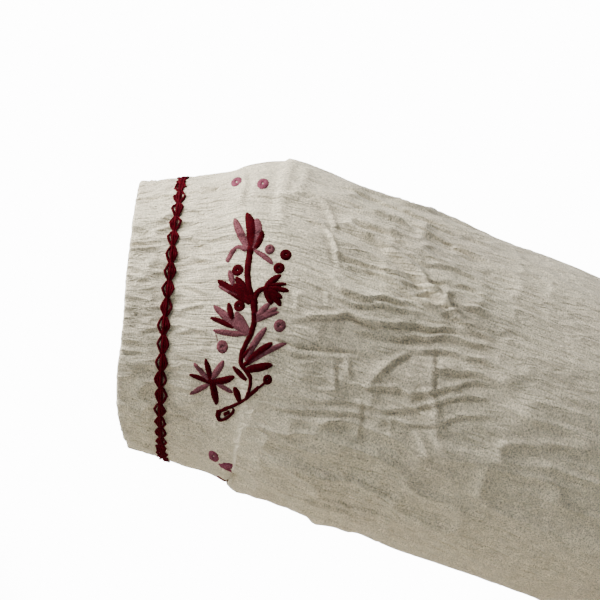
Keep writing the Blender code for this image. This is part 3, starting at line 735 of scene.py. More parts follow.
def sleevePiece(word, material):
    plan, look = sleevePlans[word], sleeveLook
    seed = plan["seed"]
    closedAt = spread(plan["closed"])
    turns = np.radians(spread(plan["turns"]))
    rises = np.linspace(0.0, 1.0, plan["cap"] + 1) ** 0.8
    share = turns / (2 * math.pi)
    closed, columns, top = len(closedAt), len(turns), closedAt[-1]
    grid = [armRing(np.full(columns, at * mm), turns) for at in closedAt]
    grid += [capPoint(np.full(columns, rise), share) for rise in rises[1:]]
    grid = np.array(grid)
    along = closedAt[0] + runAlong(grid) / mm
    along[:closed] = closedAt

    # A closed ring's last column is its first
    def flat(values):
        rest = values.shape[2:]
        return np.concatenate([values[:closed, :-1].reshape(-1, *rest), values[closed:].reshape(-1, *rest)])

    capIds = closed * (columns - 1) + np.arange((len(grid) - closed) * columns).reshape(-1, columns)
    index = np.concatenate([ringIds(closed, columns - 1, False), capIds])
    faces, points = quadsOf(index), flat(grid)

    u, s = np.meshgrid(along, share, indexing="ij")
    angle, onArm = s * 2 * math.pi, (u <= top).astype(float)
    toSeam = smoothStep((top - u) * mm / look["seamCalm"]) * onArm
    large = look["slack"] * largeCreasePush(np.minimum(u, top) * mm, angle) * toSeam
    large += elbowPush(u * mm, angle) * onArm
    edge = np.minimum(s, 1 - s) * look["around"]
    capCalm = np.where(u > top - 12, smoothStep(edge / look["capEdge"]), 1.0)
    nearNeck = smoothStep((u - along[-1] + look["neckReach"]) / look["neckReach"])
    neckGathers = ridges(u / 60, s * look["neckGathers"], seed + 20, 0, 0.4) - 0.4

    drawn = [(look["drawnWidth"] * halfWidth, look["drawnHeight"] * height,
              [(fromEdge, degrees * look["mmPerDegree"]) for fromEdge, degrees in line])
             for halfWidth, height, line in fineCreases]
    hidden = scatteredCreases(seed + 30, look["hiddenCreases"], look["hiddenAlong"], look["hiddenAround"])
    wobble = 1.5 * valueNoise(u / 13, s * 24, seed + 31, 24) + 0.6 * valueNoise(u / 5, s * 60, seed + 32, 60)
    fine = lineCreases(u, s * sleeveRound + wobble, drawn + hidden, sleeveRound) + sleeveCrinkle(u, s, seed)
    fine *= (1 - sprigCalm(u, s * sleeveRound)) * smoothStep((u - 17) / 12) * (1 - 0.5 * nearNeck)
    fine += look["neckHeight"] * neckGathers * nearNeck
    fine = fine * mm * capCalm + fineGathers(u, s) * gatherFade(u, s)

    base = points + pointNormals(points, faces) * flat(large)[:, None]
    out = pointNormals(base, faces)
    first = index[0][:-1]
    out[first] = squareTo(out[first], armDirection(closedAt[0] * mm))
    outer, inner = base + out * flat(fine)[:, None], base - out * look["thickness"]
    uvs = flat(joined(s * look["around"] * mm, u * mm))
    name, mirrored = "gauzeSleeve" + word.capitalize(), word == "right"
    piece = clothShell(name, index, outer, inner, closed, uvs, material, mirrored)
    cloth = {
        "rows": closedAt, "turns": turns, "closed": closed, "flip": mirror if mirrored else np.ones(3),
        "points": outer[index], "normals": pointNormals(outer, faces)[index],
    }
    return piece, cloth


# A place on a sleeve's finished cloth, from mm above the casing's edge and degrees round the arm
def onSleeve(cloth, fromEdge, degrees, lift):
    i = np.clip(np.interp(fromEdge, cloth["rows"], np.arange(cloth["closed"])), 0, cloth["closed"] - 1.001)
    j = np.interp(np.mod(degrees, 360.0), np.degrees(cloth["turns"]), np.arange(len(cloth["turns"])))
    j = np.minimum(j, len(cloth["turns"]) - 1.001)
    i0, j0 = i.astype(int), j.astype(int)
    a, b = (i - i0)[..., None], (j - j0)[..., None]

    def blended(grid):
        low = grid[i0, j0] * (1 - b) + grid[i0, j0 + 1] * b
        high = grid[i0 + 1, j0] * (1 - b) + grid[i0 + 1, j0 + 1] * b
        return low * (1 - a) + high * a

    place = blended(cloth["points"]) + unit(blended(cloth["normals"])) * np.asarray(lift)[..., None]
    return place * cloth["flip"]


sleevePieces, sleeveCloth = {}, {}
for word in ("left", "right"):
    sleevePieces[word], sleeveCloth[word] = sleevePiece(word, gauze)
    print("sleeve", word, trianglesOf(sleevePieces[word]))


# Casings: a double band, finely gathered, with a rolled lower edge
casingLook = {
    "around": 780,          # points round it
    "outerRows": 15,
    "innerRows": 5,
    "cloth": 0.0026,        # metres through the folded band
    "clothAround": 0.342,   # metres round it, as its weave is laid out
    "rollStart": 0.0008,
    "rollReach": 0.0011,
    "rollAngles": (20, 60, 90, 120, 160),
    "innerStart": 0.001,
    "innerGathers": 0.2,    # share of the gathers' height on the inner layer
    "edgePlace": 0.0009,
    "edgeWaves": ((5, 0.6, 0.0007), (2, 4.7, 0.0006), (1, 1.6, 0.0015)),  # times round, start, size
    "edgeDips": ((124, 20, 0.0015), (66, 22, -0.0012)),  # degrees, half width, size
    "edgeCurl": 0.25,       # mm that each gather's end moves the edge
}


def casingWave(angle):
    waves = sum(size * np.sin(times * angle + start) for times, start, size in casingLook["edgeWaves"])
    around = np.degrees(angle)
    dips = sum(size * np.exp(-(((around - at) / width) ** 2)) for at, width, size in casingLook["edgeDips"])
    return casingLook["edgePlace"] + waves + dips


def casingPiece(word, material):
    look, width, half = casingLook, form["casingWidth"], casingLook["cloth"] / 2
    turns = np.linspace(0, 2 * math.pi, look["around"] + 1)[:-1]
    share = turns / (2 * math.pi)
    rows = [(at, 0.0, True) for at in np.linspace(width, look["rollStart"], look["outerRows"])]
    for a in np.radians(look["rollAngles"]):
        place = look["rollStart"] - look["rollReach"] * math.sin(a)
        rows.append((place, half * (1 - math.cos(a)), math.cos(a) > 0.3))
    rows += [(at, 2 * half, False) for at in np.linspace(look["innerStart"], width, look["innerRows"])]
    along, lines = armDirection(0.0), []
    count, seed, sharpness = (gatherLook[name] for name in ("count", "seed", "sharpness"))
    curl = look["edgeCurl"] * crests(share * 0, share * count, seed, count, sharpness)
    for at, depth, gathered in rows:
        distance = at + (casingWave(turns) - curl * mm) * (1 - at / width)
        past = along * np.minimum(distance, 0.0)[:, None]
        middle = armRing(np.maximum(distance, 0.0), turns) + past
        away = squareTo(middle - armCentre(0.0), along)
        push = fineGathers(np.full_like(share, at / mm), share) * (1 if gathered else look["innerGathers"])
        lines.append(middle + away * (push - depth)[:, None])
    name, inside = "gauzeCasing" + word.capitalize(), armCentre(width / 2)
    return bandMesh(name, rows, lines, look["clothAround"], len(rows) // 2, inside, material, word == "right")


casingPieces = {word: casingPiece(word, bandGauze) for word in ("left", "right")}
print("casings", trianglesOf(casingPieces["right"]))


# Front and back
foldColumns = ("place", "halfWidth", "depthAtHem", "topHeight", "lean")
bodyFolds = {
    "front": (
        (0.06, 0.030, 0.0075, -0.24, 0.00),
        (0.18, 0.036, 0.0130, -0.20, 0.01),
        (0.31, 0.030, 0.0095, -0.15, -0.01),
        (0.42, 0.028, 0.0120, -0.11, 0.01),
        (0.55, 0.034, 0.0085, -0.10, -0.02),
        (0.67, 0.030, 0.0130, -0.14, 0.01),
        (0.80, 0.036, 0.0105, -0.20, 0.00),
        (0.93, 0.030, 0.0085, -0.25, 0.00),
    ),
    "back": (
        (0.07, 0.030, 0.0085, -0.26, 0.00),
        (0.20, 0.034, 0.0110, -0.17, -0.01),
        (0.33, 0.032, 0.0125, -0.10, 0.01),
        (0.46, 0.030, 0.0090, -0.06, 0.00),
        (0.58, 0.034, 0.0130, -0.07, -0.01),
        (0.70, 0.030, 0.0100, -0.11, 0.01),
        (0.82, 0.034, 0.0110, -0.18, 0.00),
        (0.94, 0.028, 0.0070, -0.26, 0.00),
    ),
}
bodyLook = {
    "across": 640.0,       # mm, a panel's width as the crinkles are laid out on it
    "foldRise": 0.30,      # metres over which a fold deepens
    "trough": 0.45,        # share of a fold's depth in the trough beside it
    "troughAside": 2.1,    # half widths
    "rollHeight": 1.5,     # mm
    "long": (1.6, 62.0, 10.5, 2.5),  # crinkles: height, length and width in mm, sharpness
    "fine": (0.6, 34.0, 6.0, 2.0),
    "cross": (0.6, 12.0, 34.0, 2.0),
    "gatherHeight": 2.2,
    "gathers": 42,
    "gatherFade": 95.0,    # mm down from the neckband
    "hemDepth": 18.0,      # mm
    "hemProud": 0.4,
    "hemPucker": 0.5,
    "thickness": 0.0014,
    "seamCalm": 0.022,
}
bodyPlans = {  # points across, and rows of them below the underarm and above it
    "front": {"side": -1, "columns": 450, "lower": 150, "cap": 42, "seed": 71},
    "back": {"side": 1, "columns": 390, "lower": 129, "cap": 36, "seed": 93},
}


def foldPush(share, height, folds):
    push = np.zeros(np.broadcast(share, height).shape)
    for row in folds:
        fold = dict(zip(foldColumns, row))
        width = fold["halfWidth"]
        depth = fold["depthAtHem"] * smoothStep((fold["topHeight"] - height) / bodyLook["foldRise"])
        lean = fold["lean"] * (height - form["hemHeight"]) / (form["neckHeight"] - form["hemHeight"])
        beside = (share - fold["place"] - lean) / width
        push += depth * np.exp(-(beside**2))
        push -= depth * bodyLook["trough"] * np.exp(-((beside - bodyLook["troughAside"]) ** 2))
    return push


def bodyCrinkle(along, across, seed):
    drift = 9 * valueNoise(along / 80, across / 90, seed) + 3 * valueNoise(along / 30, across / 34, seed + 1)
    v = across + drift

    def crinkle(name, step):
        height, length, width, sharpness = bodyLook[name]
        return height * crests(along / length, v / width, seed + step, 0, sharpness)

    patchy = smoothStep(0.5 + 0.9 * valueNoise(along / 90, across / 70, seed + 2))
    crossed = smoothStep(0.1 + valueNoise(along / 60, across / 60, seed + 6))
    push = bodyLook["rollHeight"] * valueNoise(along / 95, v / 23, seed + 3)
    push += crinkle("long", 4) * (0.3 + 0.7 * patchy) + crinkle("fine", 5)
    return push + crinkle("cross", 7) * crossed


def bodyPiece(word, material):
    plan = bodyPlans[word]
    side, seed = plan["side"], plan["seed"]
    share = np.linspace(0.0, 1.0, plan["columns"] + 1)
    low = 1 - (1 - np.linspace(0.0, 1.0, plan["lower"] + 1)) ** 1.25
    heights = form["hemHeight"] + (form["underarmHeight"] - form["hemHeight"]) * low
    grid = [torsoPoint(share * math.pi, np.full_like(share, h), 0.0, side) for h in heights]
    aroundRows = [share] * len(heights)
    for rise in (np.linspace(0.0, 1.0, plan["cap"] + 1) ** 0.8)[1:]:
        start = raglanAngle(rise)
        angle = start + share * (math.pi - 2 * start)
        grid.append(torsoPoint(angle, np.full_like(share, capHeight(rise)), rise, side))
        aroundRows.append(angle / math.pi)
    grid, across = np.array(grid), np.array(aroundRows)
    along = runAlong(grid) / mm
    index = np.arange(grid.shape[0] * grid.shape[1]).reshape(grid.shape[:2])
    if not facesOut(grid.reshape(-1, 3), quadsOf(index), np.array([0.0, 0.0, -0.300])):
        grid, share, across = grid[:, ::-1], share[::-1], across[:, ::-1]
    points, faces = grid.reshape(-1, 3), quadsOf(index)
    u, s = np.meshgrid(along, share, indexing="ij")
    edge = np.minimum(s, 1 - s) * math.pi * torsoSize(form["underarmHeight"], "halfWidth")
    calm = smoothStep(edge / bodyLook["seamCalm"])
    large = foldPush(across, grid[..., 2], bodyFolds[word]) * calm
    base = points + pointNormals(points, faces) * large.reshape(-1, 1)
    out = pointNormals(base, faces)
    out[index[-1]] = neckFrame(points[index[-1]])[1]
    nearNeck = smoothStep(1 - (along[-1] - u) / bodyLook["gatherFade"])
    gathers = bodyLook["gatherHeight"] * (ridges(u / 70, s * bodyLook["gathers"], seed + 20, 0, 0.4) - 0.4)
    hem = bodyLook["hemDepth"]
    belowStitch = smoothStep((hem - u) / 1.2)
    pucker = ridges(u / 9, s * 150, seed + 21, 0, 0.3) * np.exp(-(((u - hem) / 9) ** 2))
    fine = bodyCrinkle(u, across * bodyLook["across"], seed)
    fine *= (1 - 0.55 * nearNeck) * (1 - 0.35 * belowStitch)
    fine += gathers * nearNeck + bodyLook["hemPucker"] * pucker + bodyLook["hemProud"] * belowStitch
    fine *= mm * (0.25 + 0.75 * smoothStep(edge / 0.010))  # calmer beside the seams
    fine[:, 0] = fine[:, -1] = 0.0
    outer = base + out * fine.reshape(-1, 1)
    inner = base - out * bodyLook["thickness"]
    uvs = joined(across * bodyLook["across"] * mm, u * mm).reshape(-1, 2)
    piece = clothShell("gauze" + word.capitalize(), index, outer, inner, 1, uvs, material)
    cloth = {
        "along": along, "lower": plan["lower"],
        "points": outer[index], "normals": pointNormals(outer, faces)[index],
    }
    return piece, cloth


bodyPieces, bodyCloth = {}, {}
for word in ("front", "back"):
    bodyPieces[word], bodyCloth[word] = bodyPiece(word, gauze)
    print("body", word, trianglesOf(bodyPieces[word]))


# Neckband: a narrow folded band on the gathered neckline
bandLook = {
    "arc": 110,            # points over each of the four pieces that it joins
    "clothAround": 0.66,   # metres
    "pucker": 0.28,        # mm
    "proud": 0.0008,       # metres that its outer layer stands off the neckline
    "belly": 0.0007,
    "inside": 0.0023,
    "stitchHeight": 0.0022,
}


def neckLine(arc):
    share = np.arange(arc) / arc

    def bodyEdge(at, side):
        angle = form["raglanAngle"] + at * (math.pi - 2 * form["raglanAngle"])
        return torsoPoint(angle, np.full_like(at, form["neckHeight"]), 1.0, side)

    return np.concatenate([
        bodyEdge(1 - share, -1), capPoint(np.ones_like(share), share),
        bodyEdge(share, 1), capPoint(np.ones_like(share), 1 - share) * mirror,
    ])


def neckbandPiece(material):
    line = neckLine(bandLook["arc"])
    up, out = neckFrame(line)
    high, inside = form["neckbandHeight"], bandLook["inside"]
    proud, belly = bandLook["proud"], bandLook["belly"]
    rows = (  # metres up and out, over the band's section
        (0.0002, proud - 0.0005), (0.0008, proud), (high * 0.3, proud + 0.7 * belly),
        (high * 0.6, proud + belly), (high - 0.0010, proud + 0.0002), (high - 0.0002, proud - 0.0006),
        (high, (proud - inside) / 2), (high - 0.0004, 0.0004 - inside), (high * 0.5, -inside),
        (0.0004, -inside),
    )
    share, lines = np.arange(len(line)) / len(line), []
    for k, (height, push) in enumerate(rows):
        pucker = bandLook["pucker"] * mm * valueNoise(share * 0 + k / 4, share * 190, 61, 190) * (k < 7)
        lines.append(line + up * height + out * (push + pucker)[:, None])
    return bandMesh("gauzeNeckband", rows, lines, bandLook["clothAround"], 4, np.zeros(3), material)


neckband = neckbandPiece(bandGauze)
print("neckband", trianglesOf(neckband))


# Seams, hem and stitches
seamLook = {
    "width": 2.6,           # mm, as are the rest but pucker
    "height": 0.55,
    "lift": 0.1,
    "spacing": 2.4,
    "pucker": 0.35,         # share of its height
    "stitchLength": 2.5,
    "stitchEvery": 3.5,
    "stitchThread": 0.5,
    "stitchPoints": 0.6,
    "stitchLift": 0.2,
    "stitchBow": 0.22,
    "fromRaglan": 7.0,      # from a raglan seam to its stitches
}


def evenly(points, normals, spacing):
    run = runAlong(points)
    at = np.linspace(0, run[-1], max(4, round(run[-1] / (spacing * mm))) + 1)

    def moved(values):
        return joined(*[np.interp(at, run, values[:, k]) for k in range(3)])

    return moved(points), unit(moved(normals))


# A tube of oval rings round a line, drawn in at its ends. Half widths and heights are in metres.
def ovalTube(points, normals, halfWidth, halfHeight, sides):
    ahead = unit(np.gradient(points, axis=0))
    across = unit(np.cross(ahead, normals))
    out = np.cross(across, ahead)
    turn = np.linspace(0, 2 * math.pi, sides + 1)[:-1, None]
    size = np.ones((len(points), 1, 1))
    size[[0, -1]] = 0.35
    width, height = size * halfWidth, size * np.broadcast_to(halfHeight, len(points))[:, None, None]
    return points[:, None] + across[:, None] * np.cos(turn) * width + out[:, None] * np.sin(turn) * height


def weltTube(points, normals):
    points, normals = evenly(points, normals, seamLook["spacing"])
    order = np.arange(len(points))
    pucker = 1 + seamLook["pucker"] * valueNoise(order / 1.6, order * 0, 81)
    points = points + normals * seamLook["lift"] * mm
    return ovalTube(points, normals, seamLook["width"] / 2 * mm, seamLook["height"] * pucker * mm, 8)


def stitchTubes(points, normals):
    gap, half, tubes = seamLook["stitchPoints"], seamLook["stitchThread"] / 2 * mm, []
    points, normals = evenly(points, normals, gap)
    step, long = (max(2, round(seamLook[name] / gap)) for name in ("stitchEvery", "stitchLength"))
    bow = seamLook["stitchLift"] + seamLook["stitchBow"] * np.sin(np.linspace(0, math.pi, long + 1))[:, None]
    for k in range(0, len(points) - long, step):
        out = normals[k:k + long + 1]
        tubes.append(ovalTube(points[k:k + long + 1] + out * bow * mm, out, half, half, 4))
    return tubes


def clothLine(cloth, place):
    return tuple(cloth[name][place] * cloth.get("flip", 1) for name in ("points", "normals"))


# Raglan and underarm seams, then the side seams
def seamLines():
    lines = []
    for cloth in sleeveCloth.values():
        top = cloth["closed"] - 1
        for place in ((slice(top, None), 0), (slice(top, None), -1), (slice(top), 0)):
            lines.append(clothLine(cloth, place))
    for column in (0, -1):
        edge = bodyCloth["front"]["points"][: bodyCloth["front"]["lower"] + 1, column]
        lines.append((edge, np.sign(edge[:, :1]) * np.array([[1.0, 0.0, 0.0]])))
    return lines


def hemLines():
    return [clothLine(cloth, np.argmin(np.abs(cloth["along"] - bodyLook["hemDepth"])))
            for cloth in bodyCloth.values()]


def neckStitchLine():
    line = neckLine(bandLook["arc"])
    up, out = neckFrame(line)
    line = line + up * bandLook["stitchHeight"] + out * (bandLook["proud"] + 0.0004)
    return np.concatenate([line, line[:1]]), np.concatenate([out, out[:1]])


# The stitches of a raglan seam run beside it, on the sleeve
def raglanStitchLines():
    lines = []
    for cloth in sleeveCloth.values():
        share = cloth["turns"] / (2 * math.pi)
        column = int(np.argmin(np.abs(share * sleeveLook["around"] - seamLook["fromRaglan"])))
        for at in (column, len(share) - 1 - column):
            lines.append(clothLine(cloth, (slice(cloth["closed"] + 2, None), at)))
    return lines


def stitched(name, lines):
    return tubeMesh(name, sum([stitchTubes(*line) for line in lines], []), sewingThread)


welts = tubeMesh("seamWelts", [weltTube(*line) for line in seamLines()], bandGauze)
hemStitches = stitched("hemStitches", hemLines())
neckStitches = stitched("neckbandStitches", [neckStitchLine()])
raglanStitches = stitched("raglanStitches", raglanStitchLines())
print("seams", sum(map(trianglesOf, (welts, hemStitches, neckStitches, raglanStitches))))


# Embroidered sprig: t runs up the arm from the stem's middle and s round it, both in mm
leafColumns = ("colour", "baseT", "baseS", "tipT", "tipS", "width", "bow")
sprigLeaves = (
    ("mauve", -1.4, 26.3, -6.8, 39.8, 3.0, 0.3),
    ("mauve", 0.2, 25.9, 0.4, 39.0, 2.9, -0.3),
    ("crimson", 0.4, 25.6, 2.0, 33.7, 1.6, -0.3),
    ("mauve", 0.6, 25.6, 5.8, 20.8, 1.9, 0.3),
    ("mauve", -5.2, 12.0, -6.8, 17.8, 2.2, -0.2),
    ("mauve", -1.2, 8.0, -10.4, 12.0, 1.6, 0.2),
    ("crimson", 1.6, 6.0, -10.6, 14.2, 3.0, 0.4),
    ("crimson", 1.2, 6.6, -4.0, 15.2, 2.7, -0.2),
    ("crimson", -1.6, 7.8, -4.2, 12.8, 3.0, 0.0),
    ("crimson", 5.0, 11.6, 8.6, 17.6, 1.9, 0.3),
    ("crimson", 6.2, 13.3, 10.6, 15.0, 1.3, 0.0),
    ("crimson", 6.2, 12.4, 11.8, 12.7, 1.7, 0.1),
    ("crimson", 6.0, 12.1, 10.4, 9.6, 1.8, 0.1),
    ("crimson", 5.8, 12.0, 10.6, 7.0, 2.0, 0.2),
    ("crimson", 5.2, 12.3, 7.6, 6.8, 2.2, 0.2),
    ("mauve", 2.2, -4.8, -11.4, 4.6, 3.2, 0.3),
    ("mauve", 2.4, -5.0, -2.8, 2.8, 3.4, 0.3),
    ("mauve", 1.4, -4.8, -10.8, -4.5, 2.2, 0.3),
    ("crimson", -4.2, -0.6, -6.0, 5.8, 2.1, 0.0),
    ("crimson", -3.4, -3.0, -12.2, 0.0, 1.8, -0.2),
    ("mauve", 4.0, 2.0, 7.4, 7.2, 2.2, -0.1),
    ("mauve", 4.2, 1.1, 10.0, 6.3, 2.0, -0.1),
    ("mauve", 4.2, 0.0, 10.9, 5.1, 1.6, 0.2),
    ("mauve", 2.6, -13.8, 8.2, -1.2, 2.7, 0.3),
    ("mauve", 4.6, -14.3, 16.7, -4.3, 2.3, 0.2),
    ("crimson", 0.8, -13.1, 5.2, -7.6, 1.7, -0.2),
    ("crimson", 2.4, -15.4, 11.9, -5.7, 2.9, -0.1),
    ("crimson", 2.8, -17.0, 14.7, -12.9, 2.9, -0.3),
    ("crimson", 4.6, -20.6, -2.4, -16.4, 2.0, 0.5),
    ("mauve", -11.0, -24.2, -16.8, -17.8, 2.1, 0.0),
    ("mauve", -10.2, -23.0, -5.8, -15.0, 2.6, 0.0),
    ("mauve", -10.8, -25.2, -18.0, -31.5, 2.1, 0.0),
    ("mauve", -8.4, -23.9, -2.1, -26.8, 2.1, 0.0),
    ("crimson", -10.0, -24.8, -12.6, -15.4, 2.0, 0.0),
    ("crimson", -9.2, -24.6, -18.3, -22.7, 2.0, 0.1),
    ("crimson", -10.4, -24.3, -1.5, -20.3, 2.5, -0.2),
    ("crimson", -9.8, -23.0, -8.2, -33.3, 2.7, 0.0),
    ("crimson", 1.8, -30.4, -1.2, -24.2, 3.1, -0.1),
    ("crimson", -0.4, 24.5, -2.6, 41.8, 2.9, -0.8),
)
sprigDots = (  # colour, t, s, radius, stretch round the arm, radius of its hole
    ("mauve", 4.4, 26.5, 2.0, 1.2, 0.04),
    ("crimson", 8.4, 25.6, 2.3, 1.1, 0.07),
    ("crimson", 7.6, 20.0, 2.2, 1.1, 0.07),
    ("crimson", -3.8, 17.6, 2.4, 1.0, 0.07),
    ("crimson", -2.2, 4.8, 2.25, 1.0, 0.07),
    ("mauve", 12.4, 0.7, 2.35, 1.1, 0.04),
    ("mauve", -7.0, -10.1, 2.4, 1.1, 0.04),
    ("pink", -8.2, 63.9, 2.3, 1.7, 0.22),
    ("pink", 0.4, 58.8, 2.4, 1.9, 0.22),
    ("crimson", 14.6, -18.2, 1.8, 1.2, 0.06),
)
sprigLines = (  # colour, width in mm, then points as (t, s)
    ("crimson", 2.0, ((-0.6, 26.9), (-0.6, 24.2), (-0.6, 20.9), (-0.6, 17.4), (-0.2, 14.6), (0.6, 11.3),
                      (1.6, 8.6), (2.4, 5.8), (3.0, 3.0))),
    ("crimson", 2.1, ((2.6, 7.4), (3.2, 3.0), (3.6, -0.4), (3.2, -4.3), (1.8, -7.9), (0.6, -11.5),
                      (0.6, -14.8), (2.6, -17.0))),
    ("crimson", 2.0, ((1.2, -15.6), (3.8, -17.6), (6.2, -19.2), (7.2, -21.7), (7.0, -24.8), (5.6, -28.0))),
    ("crimson", 1.7, ((3.0, 5.0), (2.6, 8.1), (3.0, 9.8), (4.0, 11.2), (6.2, 12.4))),
    ("mauve", 2.3, ((-1.2, 25.3), (-3.2, 26.5), (-5.0, 26.9), (-6.6, 25.0), (-8.2, 21.0))),
    ("crimson", 1.1, ((14.2, -19.4), (12.6, -21.4), (11.0, -22.9))),
    ("crimson", 2.0, ((12.0, -22.0), (9.6, -24.4), (6.0, -27.8))),
    ("crimson", 1.4, ((7.2, -27.0), (2.8, -29.7), (-1.2, -31.8), (-4.2, -33.7), (-7.4, -36.5))),
    ("crimson", 1.9, ((-7.0, -35.9), (-7.4, -38.3), (-6.4, -40.4))),
    ("crimson", 1.3, ((-7.2, -40.3), (-4.6, -38.7), (-2.6, -36.5), (-1.0, -34.1), (-1.3, -32.9))),
    ("crimson", 1.4, ((-5.2, -37.0), (-2.9, -34.8))),
    ("mauve", 0.4, ((-10.0, -4.9), (-9.5, -6.6), (-8.8, -8.4))),
)
satinLook = {
    "crown": 0.62,     # mm, height of a patch
    "sink": 0.25,      # mm that its edges lie in the cloth
    "ridge": 0.16,     # mm, each thread above the gaps beside it
    "slant": 0.9,
    "fringe": 0.2,     # mm that the threads' ends stand out at the edge
    "spread": 1.15,    # share of the widths in the table above
    "spokes": 30,      # round a dot
}
sprigFinish = {"crimson": crimson, "mauve": mauve, "pink": pink}


# From a sprig's own t and s to the sleeve's cloth. shift is mm round the sleeve.
def onSprig(cloth, plan, shift, lift):
    degrees = sprigLook["angle"] + (plan[..., 1] + shift) / sleeveLook["mmPerDegree"]
    return onSleeve(cloth, sprigLook["fromEdge"] + plan[..., 0], degrees, lift * mm)


# Height over a patch's section, whose sixth point is the middle of its underside
def satinHeight(dome, raised, share=1.0):
    height = np.array(dome) * (satinLook["crown"] + satinLook["ridge"] * raised) * share - satinLook["sink"]
    height[:, 5] = -satinLook["sink"] - 0.1
    return height


# A satin-stitched patch: rings across it, one thread to each ridge, closed underneath
def satinTube(cloth, line, halfWidths, shift, lift):
    ahead = unit(np.gradient(line, axis=0))
    side = np.stack([-ahead[:, 1], ahead[:, 0]], axis=1)
    across = np.array([1.0, 0.6, 0.0, -0.6, -1.0, 0.0])
    order, half = np.arange(len(line)), halfWidths[:, None]
    raised = (order % 2)[:, None]
    uneven = 0.5 + 0.5 * valueNoise(order / 1.3 + line[0, 0], order * 0 + line[0, 1], 29)
    wide = half + satinLook["fringe"] * raised * (0.4 + 1.4 * uneven)[:, None]
    plan = line[:, None] + side[:, None] * (across * wide)[..., None]
    plan = plan + ahead[:, None] * (across * satinLook["slant"] * half * 0.5)[..., None]
    height = satinHeight([0.0, 0.72, 1.0, 0.72, 0.0, 0.0], raised, np.minimum(1, 0.35 + half / 1.2))
    return onSprig(cloth, plan, shift, height + lift)


def leafTube(cloth, leaf, shift, lift):
    base = np.array([leaf["baseT"], leaf["baseS"]])
    run = np.array([leaf["tipT"], leaf["tipS"]]) - base
    length = math.hypot(*run)
    x = np.linspace(0, 1, 2 * max(4, round(length / sprigLook["stitch"])) + 1)
    side = np.array([-run[1], run[0]]) / length
    line = base + run * x[:, None] + side * (leaf["bow"] * 4 * x * (1 - x))[:, None]
    half = leaf["width"] * satinLook["spread"] / 2 * (1 - np.abs(1 - 2 * x) ** 2.6) ** 0.6
    half = np.maximum(half, leaf["width"] * np.where(x < 0.5, 0.30, 0.14))  # blunt at its base
    return satinTube(cloth, line, half, shift, lift)


def smoothLine(points, spacing):
    points = np.array(points, float)
    run = runAlong(points)
    at = np.linspace(0, run[-1], 2 * max(2, round(run[-1] / spacing)) + 1)
    line = np.stack([np.interp(at, run, points[:, k]) for k in (0, 1)], axis=1)
    for k in (0, 1):
        padded = np.concatenate([[line[0, k]] * 2, line[:, k], [line[-1, k]] * 2])
        line[1:-1, k] = np.convolve(padded, np.ones(5) / 5, "valid")[1:-1]
    return line


def lineTube(cloth, width, points, shift, lift):
    line = smoothLine(points, sprigLook["stitch"])
    half = np.full(len(line), width / 2)
    half[[0, -1]] *= 0.5
    return satinTube(cloth, line, half, shift, lift)


# A padded dot: threads run out from its middle, and it closes on itself
def dotTube(cloth, t, s, radius, stretch, hole, shift):
    angle = np.linspace(0, 2 * math.pi, satinLook["spokes"] + 1)[:, None]
    raised = (np.arange(len(angle)) % 2)[:, None]
    far = np.array([0.0, 0.06, 0.45, 0.85, 1.0, 0.5])
    out = hole + (radius - hole) * far + 0.14 * raised * (far > 0.9)
    near = np.array([[t - 1, s], [t + 1, s], [t, s - 1], [t, s + 1]])
    reach = onSprig(cloth, near, shift, np.zeros(4)) / mm / 2
    longT, longS = np.linalg.norm(reach[1] - reach[0]), np.linalg.norm(reach[3] - reach[2])
    plan = joined(t + out * np.cos(angle) / longT, s + stretch * out * np.sin(angle) / longS)
    return onSprig(cloth, plan, shift, satinHeight([0.0, 0.62, 1.0, 0.72, 0.0, 0.0], raised))


def sprigPieces(word):
    cloth, tubes = sleeveCloth[word], {colour: [] for colour in sprigFinish}
    for shift in sprigLook["places"]:
        for k, row in enumerate(sprigLeaves):
            leaf = dict(zip(leafColumns, row))
            lift = 0.02 * (k % 3) + 0.1 * (leaf["colour"] == "crimson")  # most that cross differ
            tubes[leaf["colour"]].append(leafTube(cloth, leaf, shift, lift))
        for colour, width, points in sprigLines:
            tubes[colour].append(lineTube(cloth, width, points, shift, 0.12 * (colour == "crimson")))
        for colour, *dot in sprigDots:
            tubes[colour].append(dotTube(cloth, *dot, shift))
    return [tubeMesh("sprig" + c.capitalize() + word.capitalize(), tubes[c], sprigFinish[c]) for c in tubes]


sprigs = {word: sprigPieces(word) for word in ("left", "right")}
print("sprigs", sum(trianglesOf(piece) for piece in sprigs["right"]), "a sleeve")


# Chain of diamond stitches over the casing's seam
chainLook = {
    "count": 48,
    "fromEdge": 17.0,     # mm
    "bulges": (2.0, 1.0, 0.0, -1.0, -2.0),  # mm, how far each strand bows out
    "neck": 0.2,          # share of that bow where two diamonds meet
    "overlap": 0.04,      # share of a stitch that its ends run past it
    "thread": 0.5,        # mm, half width of a strand, and half height below
    "threadHeight": 0.42,
    "openShare": 0.7,     # of the diamonds show the cloth through a slit
    "slitThread": 0.35,   # share of its width that a strand keeps at a slit
    "lift": 0.45,
    "stretch": 0.45,      # the diamonds are longer over the arm's outer side
    "stretchReach": 0.085,
    "drop": 1.5,          # mm that the chain runs nearer the edge there
    "seed": 17,
}


# Just above and below the casing's seam the arm's form is taken as straight
def onCasingSeam(fromEdge, share, lift):
    turns, seam, reach = share * 2 * math.pi, form["casingWidth"], 2 * mm
    low, high = (armRing(np.full_like(turns, at), turns) for at in (seam - reach, seam + reach))
    middle = low + (high - low) * ((fromEdge * mm - seam + reach) / (2 * reach))[:, None]
    away = squareTo(middle - armCentre(seam), armDirection(seam))
    return middle + away * (fineGathers(fromEdge, share) + lift * mm)[:, None], away


# 1 on the arm's outer side
def outerSide(share):
    return np.exp(-(((share - 0.5) / chainLook["stretchReach"]) ** 2))


